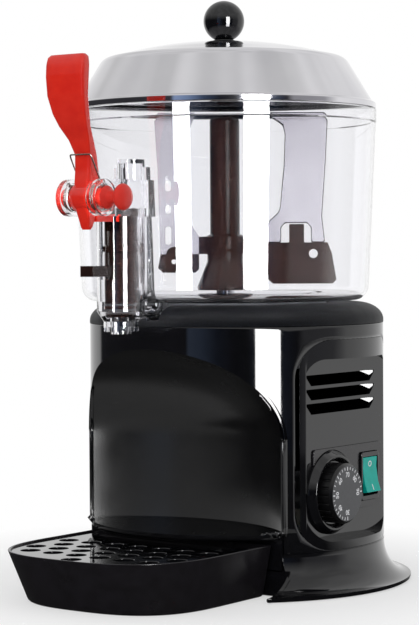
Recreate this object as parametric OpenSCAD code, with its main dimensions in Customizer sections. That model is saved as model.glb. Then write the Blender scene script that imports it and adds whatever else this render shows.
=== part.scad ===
// Hot chocolate dispenser: a heated round body with a cup niche, a clear bowl with a stirrer,
// a lift tap with a red lever, a steel lid and a drip tray. The front is -Y, the controls face +X
// and the worktop is z = 0. Sizes are in millimetres.

/* [Layout] */
// Distance of the body's axis behind the origin
body_y = 42.4; // [42:0.1:43]
// Distance of the bowl's axis in front of the body's axis
bowl_ahead = 15.3; // [14:0.1:16]
// Distance of the tap's axis in front of the bowl's axis
tap_ahead = 135.3; // [134:0.1:137]
// Distance of the lever's hinge in front of the bowl's axis
hinge_ahead = 174.8; // [174:0.1:176]
// Height of the lever's hinge
hinge_z = 304.4; // [304:0.1:305]

/* [Base] */
// Radius of the skirt at the worktop
skirt_r = 140.4; // [139:0.1:141]
// Height of the skirt
skirt_h = 33; // [32:0.5:34]
// Wall of the skirt
skirt_wall = 3; // [2.5:0.1:3.5]
// Half width of the bay that the tray docks in
bay_half = 98; // [97:0.5:99]
// Distance of the bay's back wall in front of the body's axis
bay_back = 73.3; // [72:0.1:75]
// Radius of a rubber foot
foot_r = 12; // [10:0.5:13]
// Height of a rubber foot
foot_h = 9; // [8:0.5:10]

/* [Body] */
// Outer radius of the body shell
body_r = 118.7; // [118:0.1:119]
// Wall of the body shell
body_wall = 2.5; // [2:0.1:3]
// Height of the body shell's top
body_top = 207; // [206:0.5:208]
// Radius of the scooped niche in plan
niche_r = 131.4; // [130:0.1:132]
// Distance of the niche's axis in front of the body's axis
niche_ahead = 163.4; // [163:0.1:164]
// Height where the niche's dome starts
niche_spring = 119; // [118:0.5:120]
// Height of the niche's dome
niche_dome = 74.8; // [74:0.1:75]
// Underside of the shelf in front of the niche
shelf_low = 44.8; // [44.5:0.1:45]
// Top of the shelf in front of the niche
shelf_top = 48.5; // [48:0.1:49]

/* [Deck] */
// Height of the deck's flat top
deck_top = 223; // [222:0.5:224]
// Radius of the deck's flat top
deck_flat_r = 98; // [97:0.5:99]
// Radius of the opening that the heated dish sits in
deck_hole_r = 84; // [83.5:0.1:84.5]

/* [Bowl] */
// Height of the bowl's underside
bowl_low = 225; // [224.8:0.1:225.2]
// Height of the bowl's top edge
bowl_top = 377; // [376:0.5:377]
// Outer radius at the top of the bowl's rounded foot
bowl_foot_r = 114.8; // [114:0.1:115.5]
// Outer radius under the rim
bowl_rim_r = 121.3; // [121:0.1:121.5]
// Wall of the bowl
bowl_wall = 3; // [2.5:0.1:3.2]
// Radius of the rounded foot
bowl_foot_round = 11; // [10:0.5:12]

/* [Lid] */
// Radius of the lid's edge
lid_r = 121.6; // [121:0.1:122]
// Height of the lid's lower edge
lid_low = 377.4; // [377.3:0.1:377.8]
// Radius of the lid's shoulder
shoulder_r = 96; // [95:0.5:98]
// Height of the lid's shoulder
shoulder_z = 417; // [416:0.5:419]
// Height of the lid's crown
crown_z = 432; // [431:0.5:432]
// Thickness of the lid's steel
lid_wall = 1.4; // [1.2:0.1:1.6]
// Radius of the ball knob
ball_r = 16.4; // [16:0.1:16.4]

/* [Tap] */
// Outer radius of the tap's barrel
barrel_r = 18.2; // [18:0.1:18.4]
// Height of the barrel's top
barrel_top = 297; // [296:0.5:298]
// Radius of the riser behind the barrel
riser_r = 11; // [10.5:0.1:11.5]
// Distance of the riser's axis behind the tap's axis
riser_back = 13.9; // [13.5:0.1:14.2]
// Height of the riser's top
riser_top = 334; // [333:0.5:335]
// Height of the nozzle's lower end
nozzle_low = 202.4; // [202:0.1:203]
// Radius of the piston
piston_r = 12.2; // [12:0.1:12.3]
// Outer radius of a hinge ear
ear_r = 13.7; // [13.4:0.1:14]
// Inner face of a hinge ear from the middle
ear_in = 9.6; // [9.5:0.1:9.7]
// Outer face of a hinge ear from the middle
ear_out = 18.5; // [18.3:0.1:18.8]
// Radius of the hinge pin
pin_r = 7; // [6.8:0.1:7]

/* [Lever] */
// Half width of the lever's paddle
paddle_half = 18; // [17:0.5:19]
// Half width of the lever's neck
neck_half = 7.4; // [7:0.1:7.6]
// Diameter of the return spring's wire
wire_d = 1.2; // [1.1:0.1:1.3]
// Radius of the return spring's coils
coil_r = 9.2; // [9.1:0.1:9.3]
// Coils at each end of the return spring
coil_turns = 2; // [1:1:2]

/* [Stirrer] */
// Angle of the blades about the bowl's axis
stir_angle = 35.6; // [30:0.1:40]
// Radius of the stirrer's column
column_r = 12; // [11.5:0.1:12.5]
// Height of the column's top
column_top = 371; // [370:0.5:372]
// Thickness of a clear blade
blade_t = 3; // [2.5:0.1:3.5]
// Thickness of a scraper
scraper_t = 5; // [4.6:0.1:6]

/* [Controls] */
// Distance of the flat control face from the machine's middle
face_x = 104.5; // [104:0.1:105]
// Height of the lower edge of the panel's flat recess
recess_low = 40.2; // [40:0.1:41]
// Height of the upper edge of the panel's flat recess
recess_top = 181; // [180:0.5:182]
// Dial's place along Y from the bowl's axis
dial_y = -8.5; // [-9:0.1:-8]
// Dial's height
dial_z = 77; // [76:0.1:78]
// Radius of the dial
dial_r = 23.3; // [23:0.1:23.5]
// Front face of the dial
dial_front = 121; // [120:0.1:121]
// Radius of the ring round the dial
ring_r = 32.5; // [31:0.5:32.5]
// Switch's place along Y from the bowl's axis
switch_y = 46.2; // [46:0.1:47]
// Switch's height
switch_z = 85.3; // [85:0.1:86]
// Tilt of the rocker in its ON position
rocker_tilt = 8; // [7:0.5:8]

/* [Drip tray] */
// Half width of the tray at its rim
tray_half = 85.2; // [84:0.1:86]
// Reach of the tray's rounded front
tray_reach = 90.9; // [90:0.1:91]
// Height of the tray's rim
tray_top = 40.5; // [40:0.1:41]
// Wall of the tray
tray_wall = 2.4; // [2.2:0.1:3]
// Radius of a hole in the grille
hole_r = 7.6; // [7:0.1:8]
// Spacing of the grille's holes
hole_pitch = 22.5; // [22:0.1:24]

/* [Hidden] */
$fn = 96;
black = "#16171a";
deck_black = "#23262c";
steel = "#c8cacc";
red = "#e23a22";
brown = "#4a3026";
clear = [0.85, 0.88, 0.9, 0.35];
far = 300;
bowl_y = body_y - bowl_ahead;
tap_y = bowl_y - tap_ahead;
hinge_y = bowl_y - hinge_ahead;
riser_y = tap_y + riser_back;
bay_y = body_y - bay_back;
bay_wall = 2.5;
bay_mouth = sqrt(body_r * body_r - bay_back * bay_back) + 0.04;
bay_inner = sqrt(pow(body_r - body_wall, 2) - bay_back * bay_back) - 0.3;
fit_gap = 0.35;
foot_spots = [[75, -14], [-75, -14], [75, 117], [-75, 117]];
foot_screw_r = 1.8;
plate_z = skirt_h;
plate_t = 2;
boss_r = 8;
collar_drop = 14;
ledge_z = 209.9;
ledge_t = 2.5;
pan_r = 72;
pan_low = 197;
sheet = 1.5;
dish_r = 76.8;
dish_top = 228;
flange_z = ledge_z + ledge_t + sheet;
chimney_r = 7.5;
chimney_top = 352;
shaft_r = 4;
shaft_low = 172;
head_half = 3.2;
socket_half = 3.3;
head_top = 361;
motor_y = 74;
gear_half = 36;
gear_front = 2;
gear_rear = 98;
gear_low = 168;
gear_high = 191.5;
bracket_t = 2.5;
bracket_spots = [[-82, -2], [82, -2], [-62, 104], [62, 104]];
gear_spots = [[-28, 10], [28, 10], [-28, 90], [28, 90]];
barrel_bore = 14.6;
chamber_r = 15;
chamber_low = 227;
chamber_top = 262.7;
riser_step = 317;
seat_r = 12.7;
seat_z = 216;
slot_half = 6.6;
slot_low = 243.5;
window_low = 280;
window_top = 295.5;
tongue_half = 6;
bar_z = 250;
trough_z = 218.5;
trough_r = 5;
outlet_y = bowl_y - 96;
vent_rows = [164.9, 154, 143];
vent_h = 8.4;
dial_at = bowl_y + dial_y;
switch_at = bowl_y + switch_y;
rocker_half = [10.3, 13.9];
pivot_in = 3;
pivot_r = 1.5;
grille_z = 36.4;
grille_t = 2.4;
tray_mid = bowl_y - 119.3;
tray_rear = bay_y - 3;
hub_half = 8.9;
hub_r = 10.5;
gland_angle = 25;
gland_z = 62;

module at_body() { translate([0, body_y, 0]) children(); }
module at_bowl() { translate([0, bowl_y, 0]) children(); }
module at_tap() { translate([0, tap_y, 0]) children(); }

// a straight rod between two heights
module rod(r, low, high) { translate([0, 0, low]) cylinder(r = r, h = high - low); }

// a straight tube between two heights
module tube(r, bore, low, high) {
    difference() {
        rod(r, low, high);
        rod(bore, low - 1, high + 1);
    }
}

// a rod along X
module rod_x(r, from, to) { translate([from, 0, 0]) rotate([0, 90, 0]) cylinder(r = r, h = to - from); }

// a rod along Y
module rod_y(r, from, to) { translate([0, to, 0]) rotate([90, 0, 0]) cylinder(r = r, h = to - from); }

// a box between two corners
module box(low, high) { translate(low) cube(high - low); }

// a flat outline in Y and Z, drawn out along X
module along_x(from, to) {
    translate([from, 0, 0]) rotate([90, 0, 90]) linear_extrude(to - from) children();
}

// a rectangle with round corners, from its lower left corner
module round_rect(size, r) {
    translate([r, 0]) square([size.x - 2 * r, size.y]);
    translate([0, r]) square([size.x, size.y - 2 * r]);
    for (x = [r, size.x - r], y = [r, size.y - r]) translate([x, y]) circle(r, $fn = 48);
}

// a quarter of an ellipse as points, from its side to its top
function quarter(a, b, n) = [for (i = [0:n]) [a * cos(90 * i / n), b * sin(90 * i / n)]];
function shift(points, d) = [for (p = points) p + d];
function reverse(v) = [for (i = [len(v) - 1:-1:0]) v[i]];

// the skirt's hollow flare, drawn in by g on both sides
function flare(g) = [for (i = [0:12])
    [body_r + 0.2 - g + (skirt_r - body_r - 0.2) * (1 - sin(7.5 * i)),
        4 - g + (skirt_h - 4) * (1 - cos(7.5 * i))]];

module skirt_outside() {
    rotate_extrude() polygon(concat([[0, 1], [skirt_r, 1]], flare(0), [[0, skirt_h]]));
}

module base_skirt() color(black) difference() {
    shelf_in = 100;
    side_h = 34;
    union() {
        difference() {
            at_body() rotate_extrude() polygon(concat([[skirt_r, 1]], flare(0),
                [[shelf_in, skirt_h], [shelf_in, skirt_h - skirt_wall]], reverse(flare(skirt_wall))));
            box([-bay_half, -far, -1], [bay_half, bay_y, far]);
        }
        intersection() {
            at_body() skirt_outside();
            for (s = [-1, 1]) translate([s * (bay_half + bay_wall / 2), bay_y - 14, side_h / 2])
                cube([bay_wall, side_h, side_h], center = true);
        }
        intersection() {
            at_body() skirt_outside();
            box([-bay_half - bay_wall, bay_y, 1], [bay_half + bay_wall, bay_y + bay_wall, skirt_h]);
        }
        box([-bay_inner, bay_y, skirt_h - 1], [bay_inner, bay_y + bay_wall, shelf_low - 0.2]);
        for (p = foot_spots) translate(p) rod(boss_r, foot_h, skirt_h);
    }
    for (p = foot_spots) translate(p) rod(foot_screw_r + 0.3, foot_h - 1, skirt_h + 1);
}

module base_plate() color(steel) {
    radius = body_r - body_wall - 3.1;
    slot_count = 5;
    slot_step = 10;
    slot_w = 4;
    difference() {
        at_body() rod(radius, plate_z, plate_z + plate_t);
        box([-far, -far, 0], [far, bay_y + bay_wall, far]);
        for (p = foot_spots) translate(p) rod(foot_screw_r, plate_z - 1, plate_z + plate_t + 1);
        for (i = [0:slot_count - 1]) translate([0, 60 + slot_step * i, plate_z])
            box([-30, 0, -1], [30, slot_w, plate_t + 1]);
    }
}

module foot(recess) {
    difference() {
        rotate_extrude() polygon([[0, 0], [foot_r - 1.5, 0], [foot_r, 1.5], [foot_r - 1, foot_h],
            [0, foot_h]]);
        rod(2.2, -1, foot_h + 1);
        rod(5, -1, recess);
    }
}

module feet() color("#2b2b2c") for (p = foot_spots) translate(p) foot(4);

module foot_screws() color(steel) for (p = foot_spots) translate(p) {
    rod(4.4, 1.4, 4);
    rod(foot_screw_r, 4, plate_z + plate_t + 3);
}

// the niche's space, grown by g
module niche(g, low) {
    translate([0, body_y - niche_ahead, 0]) rotate_extrude() polygon(concat(
        [[0, low], [niche_r + g, low]],
        shift(quarter(niche_r + g, niche_dome + g, 20), [0, niche_spring])));
}

// the side opening that the control panel fills, grown by g
module panel_outline(g) {
    translate([body_y - 64.5 - g, plate_z + 0.6 - g]) round_rect([133.5 + 2 * g, 162.4 + 2 * g], 30 + g);
}

module body_shell() color(black) difference() {
    at_body() tube(body_r, body_r - body_wall, plate_z, body_top);
    niche(0, shelf_top);
    box([-bay_mouth, -far, plate_z - 1], [bay_mouth, bay_y + 10, shelf_low]);
    along_x(60, far) panel_outline(0);
    at_gland() rod_y(8, 100, 130);
}

// the scooped wall, dome and shelf behind the cup
module niche_liner() color(black) difference() {
    intersection() {
        at_body() rod(body_r - body_wall, shelf_low, body_top);
        niche(body_wall, shelf_low);
    }
    niche(0, shelf_top);
}

// the flat recess of the control panel, set back by g
module panel_recess(g) {
    left = body_y - 58;
    width = 120.5;
    along_x(face_x - g, far) {
        translate([left - g, recess_low - g]) round_rect([width + 2 * g, 80 + g], 27);
        translate([left - g, recess_low + 50])
            round_rect([width + 2 * g, recess_top - recess_low - 50 + g], 18);
    }
}

module control_panel() color(black) {
    wall = 2.8;
    lap = 6;
    difference() {
        union() {
            intersection() {
                at_body() tube(body_r, 88, plate_z, body_top);
                along_x(60, far) panel_outline(-fit_gap);
            }
            intersection() {
                at_body() tube(body_r - body_wall, 88, plate_z + plate_t + 0.5, body_top - 7.5);
                along_x(60, far) panel_outline(lap);
            }
        }
        panel_recess(0);
        difference() {
            at_body() rod(body_r - body_wall - wall, 0, far);
            panel_recess(wall);
        }
        box([0, -far, 0], [face_x - wall, far, far]);
        niche(body_wall + 0.5, shelf_low);
        for (z = vent_rows) along_x(60, far) vent(z);
        translate([0, dial_at, dial_z]) rod_x(8, 60, far);
        translate([0, switch_at, switch_z]) box([60, -12.3, -16.7], [far, 12.3, 16.7]);
    }
}

// one long vent with chamfered lower corners, in Y and Z
module vent(z) {
    left = bowl_y - 40.5;
    right = bowl_y + 57;
    polygon([[left, z + vent_h / 2], [right, z + vent_h / 2], [right, z - 1],
        [right - 4, z - vent_h / 2], [left + 4, z - vent_h / 2], [left, z - 1]]);
}

module control_plate() color("#1b1c20") {
    difference() {
        along_x(face_x, face_x + 1.6) translate([bowl_y - 33, 60.5]) round_rect([99, 51], 3);
        translate([0, dial_at, dial_z]) rod_x(ring_r + fit_gap, 60, far);
        translate([0, switch_at, switch_z]) box([60, -13.4, -19.2], [far, 13.4, 19.2]);
    }
}

// the space that the rocker tips in
module rocker_well(back) {
    box([back, -rocker_half.x - 0.5, -rocker_half.y - 1.4], [far, rocker_half.x + 0.5, rocker_half.y + 1.4]);
}

module switch_bezel() color(black) translate([0, switch_at, switch_z]) difference() {
    along_x(face_x, face_x + 3.4) translate([-13.2, -19]) round_rect([26.4, 38], 2.5);
    rocker_well(60);
}

module switch_body() color("#101114") translate([0, switch_at, switch_z]) {
    difference() {
        box([82, -12.2, -16.6], [face_x, 12.2, 16.6]);
        rocker_well(96);
        translate([face_x - pivot_in, 0, 0]) rod_y(pivot_r + 0.05, -20, 20);
    }
    for (z = [-9, 0, 9]) box([74, -3, z - 0.5], [82, 3, z + 0.5]);
}

// the rocker tips about its two pins along Y, behind the control face
module switch_rocker() color("#12a878") translate([face_x - pivot_in, switch_at, switch_z])
    rotate([0, -rocker_tilt, 0]) {
        translate([0, rocker_half.x, 0]) rotate([90, 0, 0]) linear_extrude(2 * rocker_half.x)
            polygon([[-4, -8], [4, -rocker_half.y], [8.2, -rocker_half.y], [6.6, -6], [6.6, 6],
                [8.2, rocker_half.y], [4, rocker_half.y], [-4, 8]]);
        rod_y(pivot_r, -12, 12);
    }

module dial_ring() color(black) translate([0, dial_at, dial_z]) rotate([0, 90, 0]) rotate_extrude()
    polygon([[ring_r, face_x], [ring_r, face_x + 2], [ring_r - 3.5, face_x + 7], [ring_r - 5, face_x + 7],
        [dial_r + 1.2, face_x + 2.5], [8, face_x + 2.5], [8, face_x]]);

module dial() color("#1a1b1e") translate([0, dial_at, dial_z]) rotate([0, 90, 0]) difference() {
    union() {
        rotate_extrude() polygon([[0, face_x + 3], [dial_r, face_x + 3], [dial_r, dial_front - 2],
            [dial_r - 2, dial_front], [0, dial_front]]);
        rod(3, 92, face_x + 4);
    }
    for (a = [0:15:345]) rotate(a) translate([dial_r + 0.6, 0, 0])
        rod(1.3, face_x + 2, dial_front - 3, $fn = 16);
}

module thermostat_body() color(steel) translate([0, dial_at, dial_z]) rotate([0, 90, 0]) difference() {
    union() {
        rod(15, 74, 96);
        rod(7.6, 96, face_x);
        for (s = [-1, 1]) translate([0, s * 9, 0]) rod(2, 66, 74, $fn = 24);
    }
    rod(3.05, 90, far);
}

module deck_solid(g) {
    rotate_extrude() polygon(concat([[0, body_top], [body_r + 0.2 - g, body_top]],
        shift(quarter(body_r + 0.2 - deck_flat_r, collar_drop, 12),
            [deck_flat_r - g, deck_top - collar_drop - g]),
        [[0, deck_top - g]]));
}

module deck_collar() color(deck_black) {
    wall = 3;
    difference() {
        union() {
            at_body() difference() {
                deck_solid(0);
                translate([0, 0, -0.01]) deck_solid(wall);
            }
            at_body() tube(body_r - body_wall - 0.2, body_r - body_wall - 2.7, body_top - 7, body_top + 2);
            intersection() {
                at_body() rotate_extrude() polygon([[0, 190], [body_r - body_wall - 0.2, 190],
                    [body_r - body_wall - 0.2, body_top], [deck_flat_r, deck_top], [0, deck_top]]);
                at_bowl() tube(deck_hole_r + 2.5, 79, ledge_z, deck_top);
            }
            for (p = bracket_spots) translate(p) rod(5, gear_high + bracket_t, deck_top - 1);
        }
        at_bowl() rod(deck_hole_r, ledge_z + ledge_t, far);
        box([-10.5, -far, 211.6], [10.5, bowl_y - deck_hole_r - 2.6, far]);
        for (p = bracket_spots) translate(p) rod(1.5, gear_high, 206);
    }
}

module deck_screws() color(steel) for (p = bracket_spots) translate(p) {
    rod(3.4, gear_high - 2.4, gear_high);
    rod(1.5, gear_high, 204);
}

module water_bath() color(steel) at_bowl() rotate_extrude() polygon([[chimney_r, pan_low],
    [pan_r, pan_low], [pan_r, flange_z - sheet], [deck_hole_r - 0.3, flange_z - sheet],
    [deck_hole_r - 0.3, flange_z], [pan_r - sheet, flange_z], [pan_r - sheet, pan_low + sheet],
    [chimney_r, pan_low + sheet]]);

module heating_element() color("#8d8f92") at_bowl() {
    difference() {
        rotate_extrude() translate([50, 204]) circle(3.4, $fn = 32);
        box([0, -6, 190], [70, 6, 220]);
    }
    for (s = [-1, 1]) translate([50 * cos(asin(6 / 50)), s * 6, 0]) rod(3.4, pan_low + sheet, 204, $fn = 32);
}

module heated_dish() color(steel) at_bowl() difference() {
    union() {
        rotate_extrude() polygon([[0, dish_top - sheet], [dish_r - sheet - 3, dish_top - sheet],
            [dish_r - sheet, dish_top - sheet - 3], [dish_r - sheet, flange_z],
            [deck_hole_r - 0.3, flange_z], [deck_hole_r - 0.3, flange_z + sheet],
            [dish_r, flange_z + sheet], [dish_r, dish_top - 4], [dish_r - 4, dish_top], [0, dish_top]]);
        rod(chimney_r, pan_low - 1.5, chimney_top);
    }
    rod(5.2, pan_low - 3, chimney_top + 1);
}

module bowl_gasket() color("#3a3b3d") at_bowl() rotate_extrude() polygon([
    [dish_r, flange_z + sheet], [deck_hole_r - 0.6, flange_z + sheet], [deck_hole_r - 0.6, flange_z + 4],
    [81, bowl_low - 1.8], [79.6, bowl_low - 0.3], [78, bowl_low - 0.3], [dish_r, bowl_low - 2.5]]);

module gear_motor() color("#9a9ca0") difference() {
    union() {
        box([-gear_half, gear_front, gear_low], [gear_half, gear_rear, gear_high]);
        translate([0, motor_y, 0]) rod(27, 100, gear_low);
        translate([0, motor_y, 0]) rod(24, 96, 100);
    }
    at_bowl() rod(shaft_r + 0.05, shaft_low - 1, gear_high + 1);
    for (p = gear_spots) translate(p) rod(2, gear_high - 12, gear_high + 1, $fn = 32);
}

module motor_bracket() color(steel) difference() {
    union() {
        box([-60, -1, gear_high], [60, 102, gear_high + bracket_t]);
        box([-88, -8, gear_high], [88, 6, gear_high + bracket_t]);
        box([-69, 97, gear_high], [69, 111, gear_high + bracket_t]);
    }
    at_bowl() rod(11, gear_high - 1, far);
    for (p = bracket_spots) translate(p) rod(1.7, gear_high - 1, far, $fn = 32);
    for (p = gear_spots) translate(p) rod(2, gear_high - 1, far, $fn = 32);
    translate([48, bowl_y + 20, 0]) rod(9, gear_high - 1, far);
}

module motor_screws() color(steel) for (p = gear_spots) translate(p) {
    rod(3.2, gear_high + bracket_t, gear_high + bracket_t + 2.2);
    rod(2, gear_high - 10, gear_high + bracket_t, $fn = 32);
}

module drive_shaft() color(steel) at_bowl() {
    rod(shaft_r, shaft_low, chimney_top + 0.6);
    box([-head_half, -head_half, chimney_top], [head_half, head_half, head_top]);
}

module shaft_bush() color("#b98a4a") at_bowl() tube(5.2, shaft_r + 0.04, chimney_top - 16, chimney_top - 2);

module shaft_seal() color("#2b2b2c") at_bowl() tube(5.2, shaft_r + 0.06, pan_low + 2, pan_low + 8);

module safety_thermostat() color(steel) translate([48, bowl_y + 20, 0]) {
    rod(8, pan_low - 6, pan_low);
    for (s = [-1, 1]) box([-3, s * 4 - 0.5, pan_low - 13], [3, s * 4 + 0.5, pan_low - 6]);
}

module terminal_block() color("#e6e2d6") {
    low = [-38, 112, plate_z + plate_t];
    difference() {
        box(low, low + [56, 18, 16]);
        for (i = [0:4]) translate(low + [7 + 10.5 * i, 9, 0]) rod(3, 8, 20, $fn = 32);
    }
}

module at_gland() { at_body() rotate(gland_angle) translate([0, 0, gland_z]) children(); }

module cord_gland() color("#141416") at_gland() difference() {
    union() {
        rod_y(7.9, 106, body_r + 2);
        rod_y(10.5, body_r - 6, body_r - body_wall - 0.5);
        rod_y(10.5, body_r, body_r + 4);
        rod_y(7, body_r + 3, body_r + 16);
    }
    rod_y(4.2, 100, 150);
}

// the bowl's outside in the turning plane, drawn in by g
function bowl_side(g) = concat(
    shift([for (i = [0:8]) bowl_foot_round * [sin(11.25 * i), -cos(11.25 * i)]],
        [bowl_foot_r - bowl_foot_round - g, bowl_low + bowl_foot_round + g]),
    [[bowl_rim_r - g, bowl_top - 11]]);

module bowl_outside() {
    rotate_extrude() polygon(concat([[0, bowl_low]], bowl_side(0),
        [[bowl_rim_r + 0.5, bowl_top - 10], [bowl_rim_r + 0.5, bowl_top], [0, bowl_top]]));
}

module bowl() color(clear) difference() {
    at_bowl() rotate_extrude() polygon(concat([[dish_r + 1.2, bowl_low]], bowl_side(0),
        [[bowl_rim_r + 0.5, bowl_top - 10], [bowl_rim_r + 0.5, bowl_top], [bowl_rim_r - 2.5, bowl_top]],
        [[bowl_rim_r - bowl_wall, bowl_top - 11]], reverse(bowl_side(bowl_wall)),
        [[dish_r + 1.2, bowl_low + bowl_wall]]));
    translate([0, outlet_y, 0]) rod(trough_r, bowl_low - 1, bowl_low + 5);
}

module barrel_outside() rotate_extrude() polygon(concat(
    [[0, 212], [13.2, 212], [14.5, 214]], [[barrel_r, 219.5], [barrel_r, barrel_top], [0, barrel_top]]));

module nozzle() difference() {
    union() {
        tube(13.2, 11.2, nozzle_low + 2, 212);
        tube(7.6, 5.5, nozzle_low, 212);
    }
    for (a = [0, 45, 90, 135]) rotate(a) box([-far, -1.6, nozzle_low], [-8.4, 1.6, nozzle_low + 5]);
    for (a = [0, 45, 90, 135]) rotate(a) box([8.4, -1.6, nozzle_low], [far, 1.6, nozzle_low + 5]);
}

// the side plates that carry the hinge ears
module cheeks() for (s = [-1, 1]) {
    translate([s > 0 ? 15.5 : -ear_out, 0, 0])
        box([0, hinge_y, hinge_z - ear_r], [ear_out - 15.5, bowl_y - 100, hinge_z + ear_r]);
}

module ears() translate([0, hinge_y, hinge_z]) {
    rod_x(ear_r, ear_in, ear_out);
    rod_x(ear_r, -ear_out, -ear_in);
}

module tap_housing() color(clear) difference() {
    union() {
        at_tap() barrel_outside();
        at_tap() nozzle();
        translate([0, riser_y, 0]) rod(riser_r, 219.5, riser_top);
        box([-15.5, riser_y - 1.5, 226], [15.5, bowl_y - 95, 328]);
        box([-9, tap_y, 212], [9, bowl_y - 88, bowl_low]);
        cheeks();
        ears();
    }
    at_bowl() bowl_outside();
    at_tap() rod(5.5, nozzle_low - 1, seat_z + 1);
    at_tap() rod(seat_r, seat_z, chamber_low + 1);
    at_tap() rod(chamber_r, chamber_low, chamber_top);
    at_tap() rod(barrel_bore, chamber_top - 1, riser_step);
    translate([0, riser_y, 0]) rod(riser_r - 2.4, barrel_top, riser_top - 3);
    box([-slot_half, hinge_y, slot_low], [slot_half, tap_y, far + 50]);
    translate([0, 0, trough_z]) rod_y(trough_r, tap_y + 4, outlet_y);
    translate([0, outlet_y, 0]) rod(trough_r, trough_z, bowl_low + 5);
    translate([0, hinge_y, hinge_z]) {
        rod_x(pin_r, -ear_out - 1, ear_out + 1);
        rod_x(11, -15.5, 15.5);
        box([-12.2, -8, 5], [12.2, 12.4, 20]);
    }
    for (s = [-1, 1]) translate([s * 16.3, hinge_y, hinge_z + coil_r]) rod_x(0.9, -1.3, 1.3);
}

module hinge_pin() color(red) translate([0, hinge_y, hinge_z]) {
    rod_x(pin_r, -ear_out - 1.5, ear_out);
    rotate([0, 90, 0]) rotate_extrude() polygon(concat([[0, ear_out], [8.6, ear_out], [8.6, ear_out + 1.2],
        [5.4, ear_out + 4], [4.4, ear_out + 8], [5.4, ear_out + 11.5]],
        [for (i = [-5:9]) [9.8 * cos(10 * i), 34 + 5 * sin(10 * i)]]));
}

// the lever's side, in Y and Z from the hinge
module lever_side() polygon([[-25.2, 101], [-24.6, 103.2], [-22, 104.3], [-17.4, 104.1], [-15.6, 102],
    [-16.4, 88], [-17.4, 76], [-15.6, 66], [-11, 54], [-2, 42], [3.6, 34], [5.6, 26], [7.4, 14], [9, 0],
    [5, -10.6], [36.5, -12.2], [36.5, -17.4], [8, -17.6], [4, -18], [1.2, -23.6], [-2.4, -23.6],
    [-4.6, -14], [-9, -5], [-7, 12], [-5.6, 24], [-6, 31.6], [-10, 42], [-17, 52], [-21.4, 61],
    [-25.4, 74], [-26.4, 88]]);

// the lever's front, in X and Z from the hinge
module lever_front() {
    polygon(concat(lever_edge, [for (p = reverse(lever_edge)) [-p.x, p.y]]));
}
lever_edge = [[3.4, -24], [5.6, -14], [tongue_half, -10], [tongue_half + 1.4, 6], [neck_half, 20],
    [neck_half, 34], [9, 40], [14, 54], [17, 68], [paddle_half, 84], [paddle_half, 98], [16.6, 102.6],
    [13, 104.6]];

module tap_lever() color(red) translate([0, hinge_y, hinge_z]) difference() {
    union() {
        intersection() {
            along_x(-20, 20) lever_side();
            translate([0, 40, 0]) rotate([90, 0, 0]) linear_extrude(80) lever_front();
        }
        rod_x(hub_r, -hub_half, hub_half);
    }
    rod_x(pin_r + 0.05, -20, 20);
}

// the return spring's middle line: an end bent into the ear, coils, the bail over the neck,
// and the same mirrored
bail_y = -7.4;
bail_z = 31.6;
bail_half = 9.6;
coil_in = 10.4;
coil_out = 14.8;
tangent = atan2(bail_z, bail_y) - acos(coil_r / norm([bail_y, bail_z]));
coil_first = 90;
coil_sweep = 360 * coil_turns + coil_first - tangent;
coil_steps = 8 * coil_turns + 1;
half_wire = concat(
    [[17.4, 0, coil_r], [16.1, 0, coil_r], [coil_out + 0.2, -0.5, coil_r]],
    [for (i = [1:coil_steps]) let(a = coil_first - coil_sweep * i / coil_steps)
        [coil_out - (coil_out - coil_in) * i / coil_steps, coil_r * cos(a), coil_r * sin(a)]],
    [[bail_half + 0.3, bail_y + 1.2, bail_z - 2.2], [bail_half - 0.5, bail_y, bail_z]]);
wire_line = concat(half_wire, [for (p = reverse(half_wire)) [-p.x, p.y, p.z]]);

function unit(v) = v / norm(v);
function line_way(line, i) = unit(line[min(i + 1, len(line) - 1)] - line[max(i - 1, 0)]);

// a tube of given radius and sides swept along a line of points
module swept(line, r, sides) {
    rings = [for (i = [0:len(line) - 1])
        let(w = line_way(line, i), c = line[i],
            u = unit(cross(w, abs(w.x) > 0.8 ? [0, 0, 1] : [1, 0, 0])), v = cross(w, u))
        for (k = [0:sides - 1]) c + r * (cos(360 * k / sides) * u + sin(360 * k / sides) * v)];
    n = len(line);
    polyhedron(rings, concat(
        [[for (k = [0:sides - 1]) k]],
        [for (i = [0:n - 2], k = [0:sides - 1]) let(a = i * sides + k, b = i * sides + (k + 1) % sides)
            [a, a + sides, b]],
        [for (i = [0:n - 2], k = [0:sides - 1]) let(a = i * sides + k, b = i * sides + (k + 1) % sides)
            [b, a + sides, b + sides]],
        [[for (k = [sides - 1:-1:0]) (n - 1) * sides + k]]));
}

// the spring's least gap to itself, between points at least half a coil apart
echo(spring_gap = min([for (i = [0:len(wire_line) - 1], j = [i + 4:1:len(wire_line) - 1])
    norm(wire_line[i] - wire_line[j])]) - wire_d);

module return_spring() color(steel) translate([0, hinge_y, hinge_z]) swept(wire_line, wire_d / 2, 6);

module tap_piston() color(brown) difference() {
    union() {
        at_tap() rotate_extrude() polygon([[0, seat_z + 1], [7, seat_z + 1], [piston_r, seat_z + 3.4],
            [piston_r, 263.6], [barrel_bore - 0.1, 264.6], [barrel_bore - 0.1, 268.4],
            [piston_r, 269.4], [piston_r, 296.6], [0, 296.6]]);
        box([-tongue_half, tap_y - 40.5, bar_z - 4], [tongue_half, tap_y, bar_z + 4]);
    }
    box([-7, tap_y - 20, window_low], [7, tap_y + 3, window_top]);
    piston_seals();
}

module piston_seals() color("#2b2b2c") at_tap() for (z = [220.6, 224.6])
    rotate_extrude() translate([piston_r - 0.75, z]) circle(1.2, $fn = 24);

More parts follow.
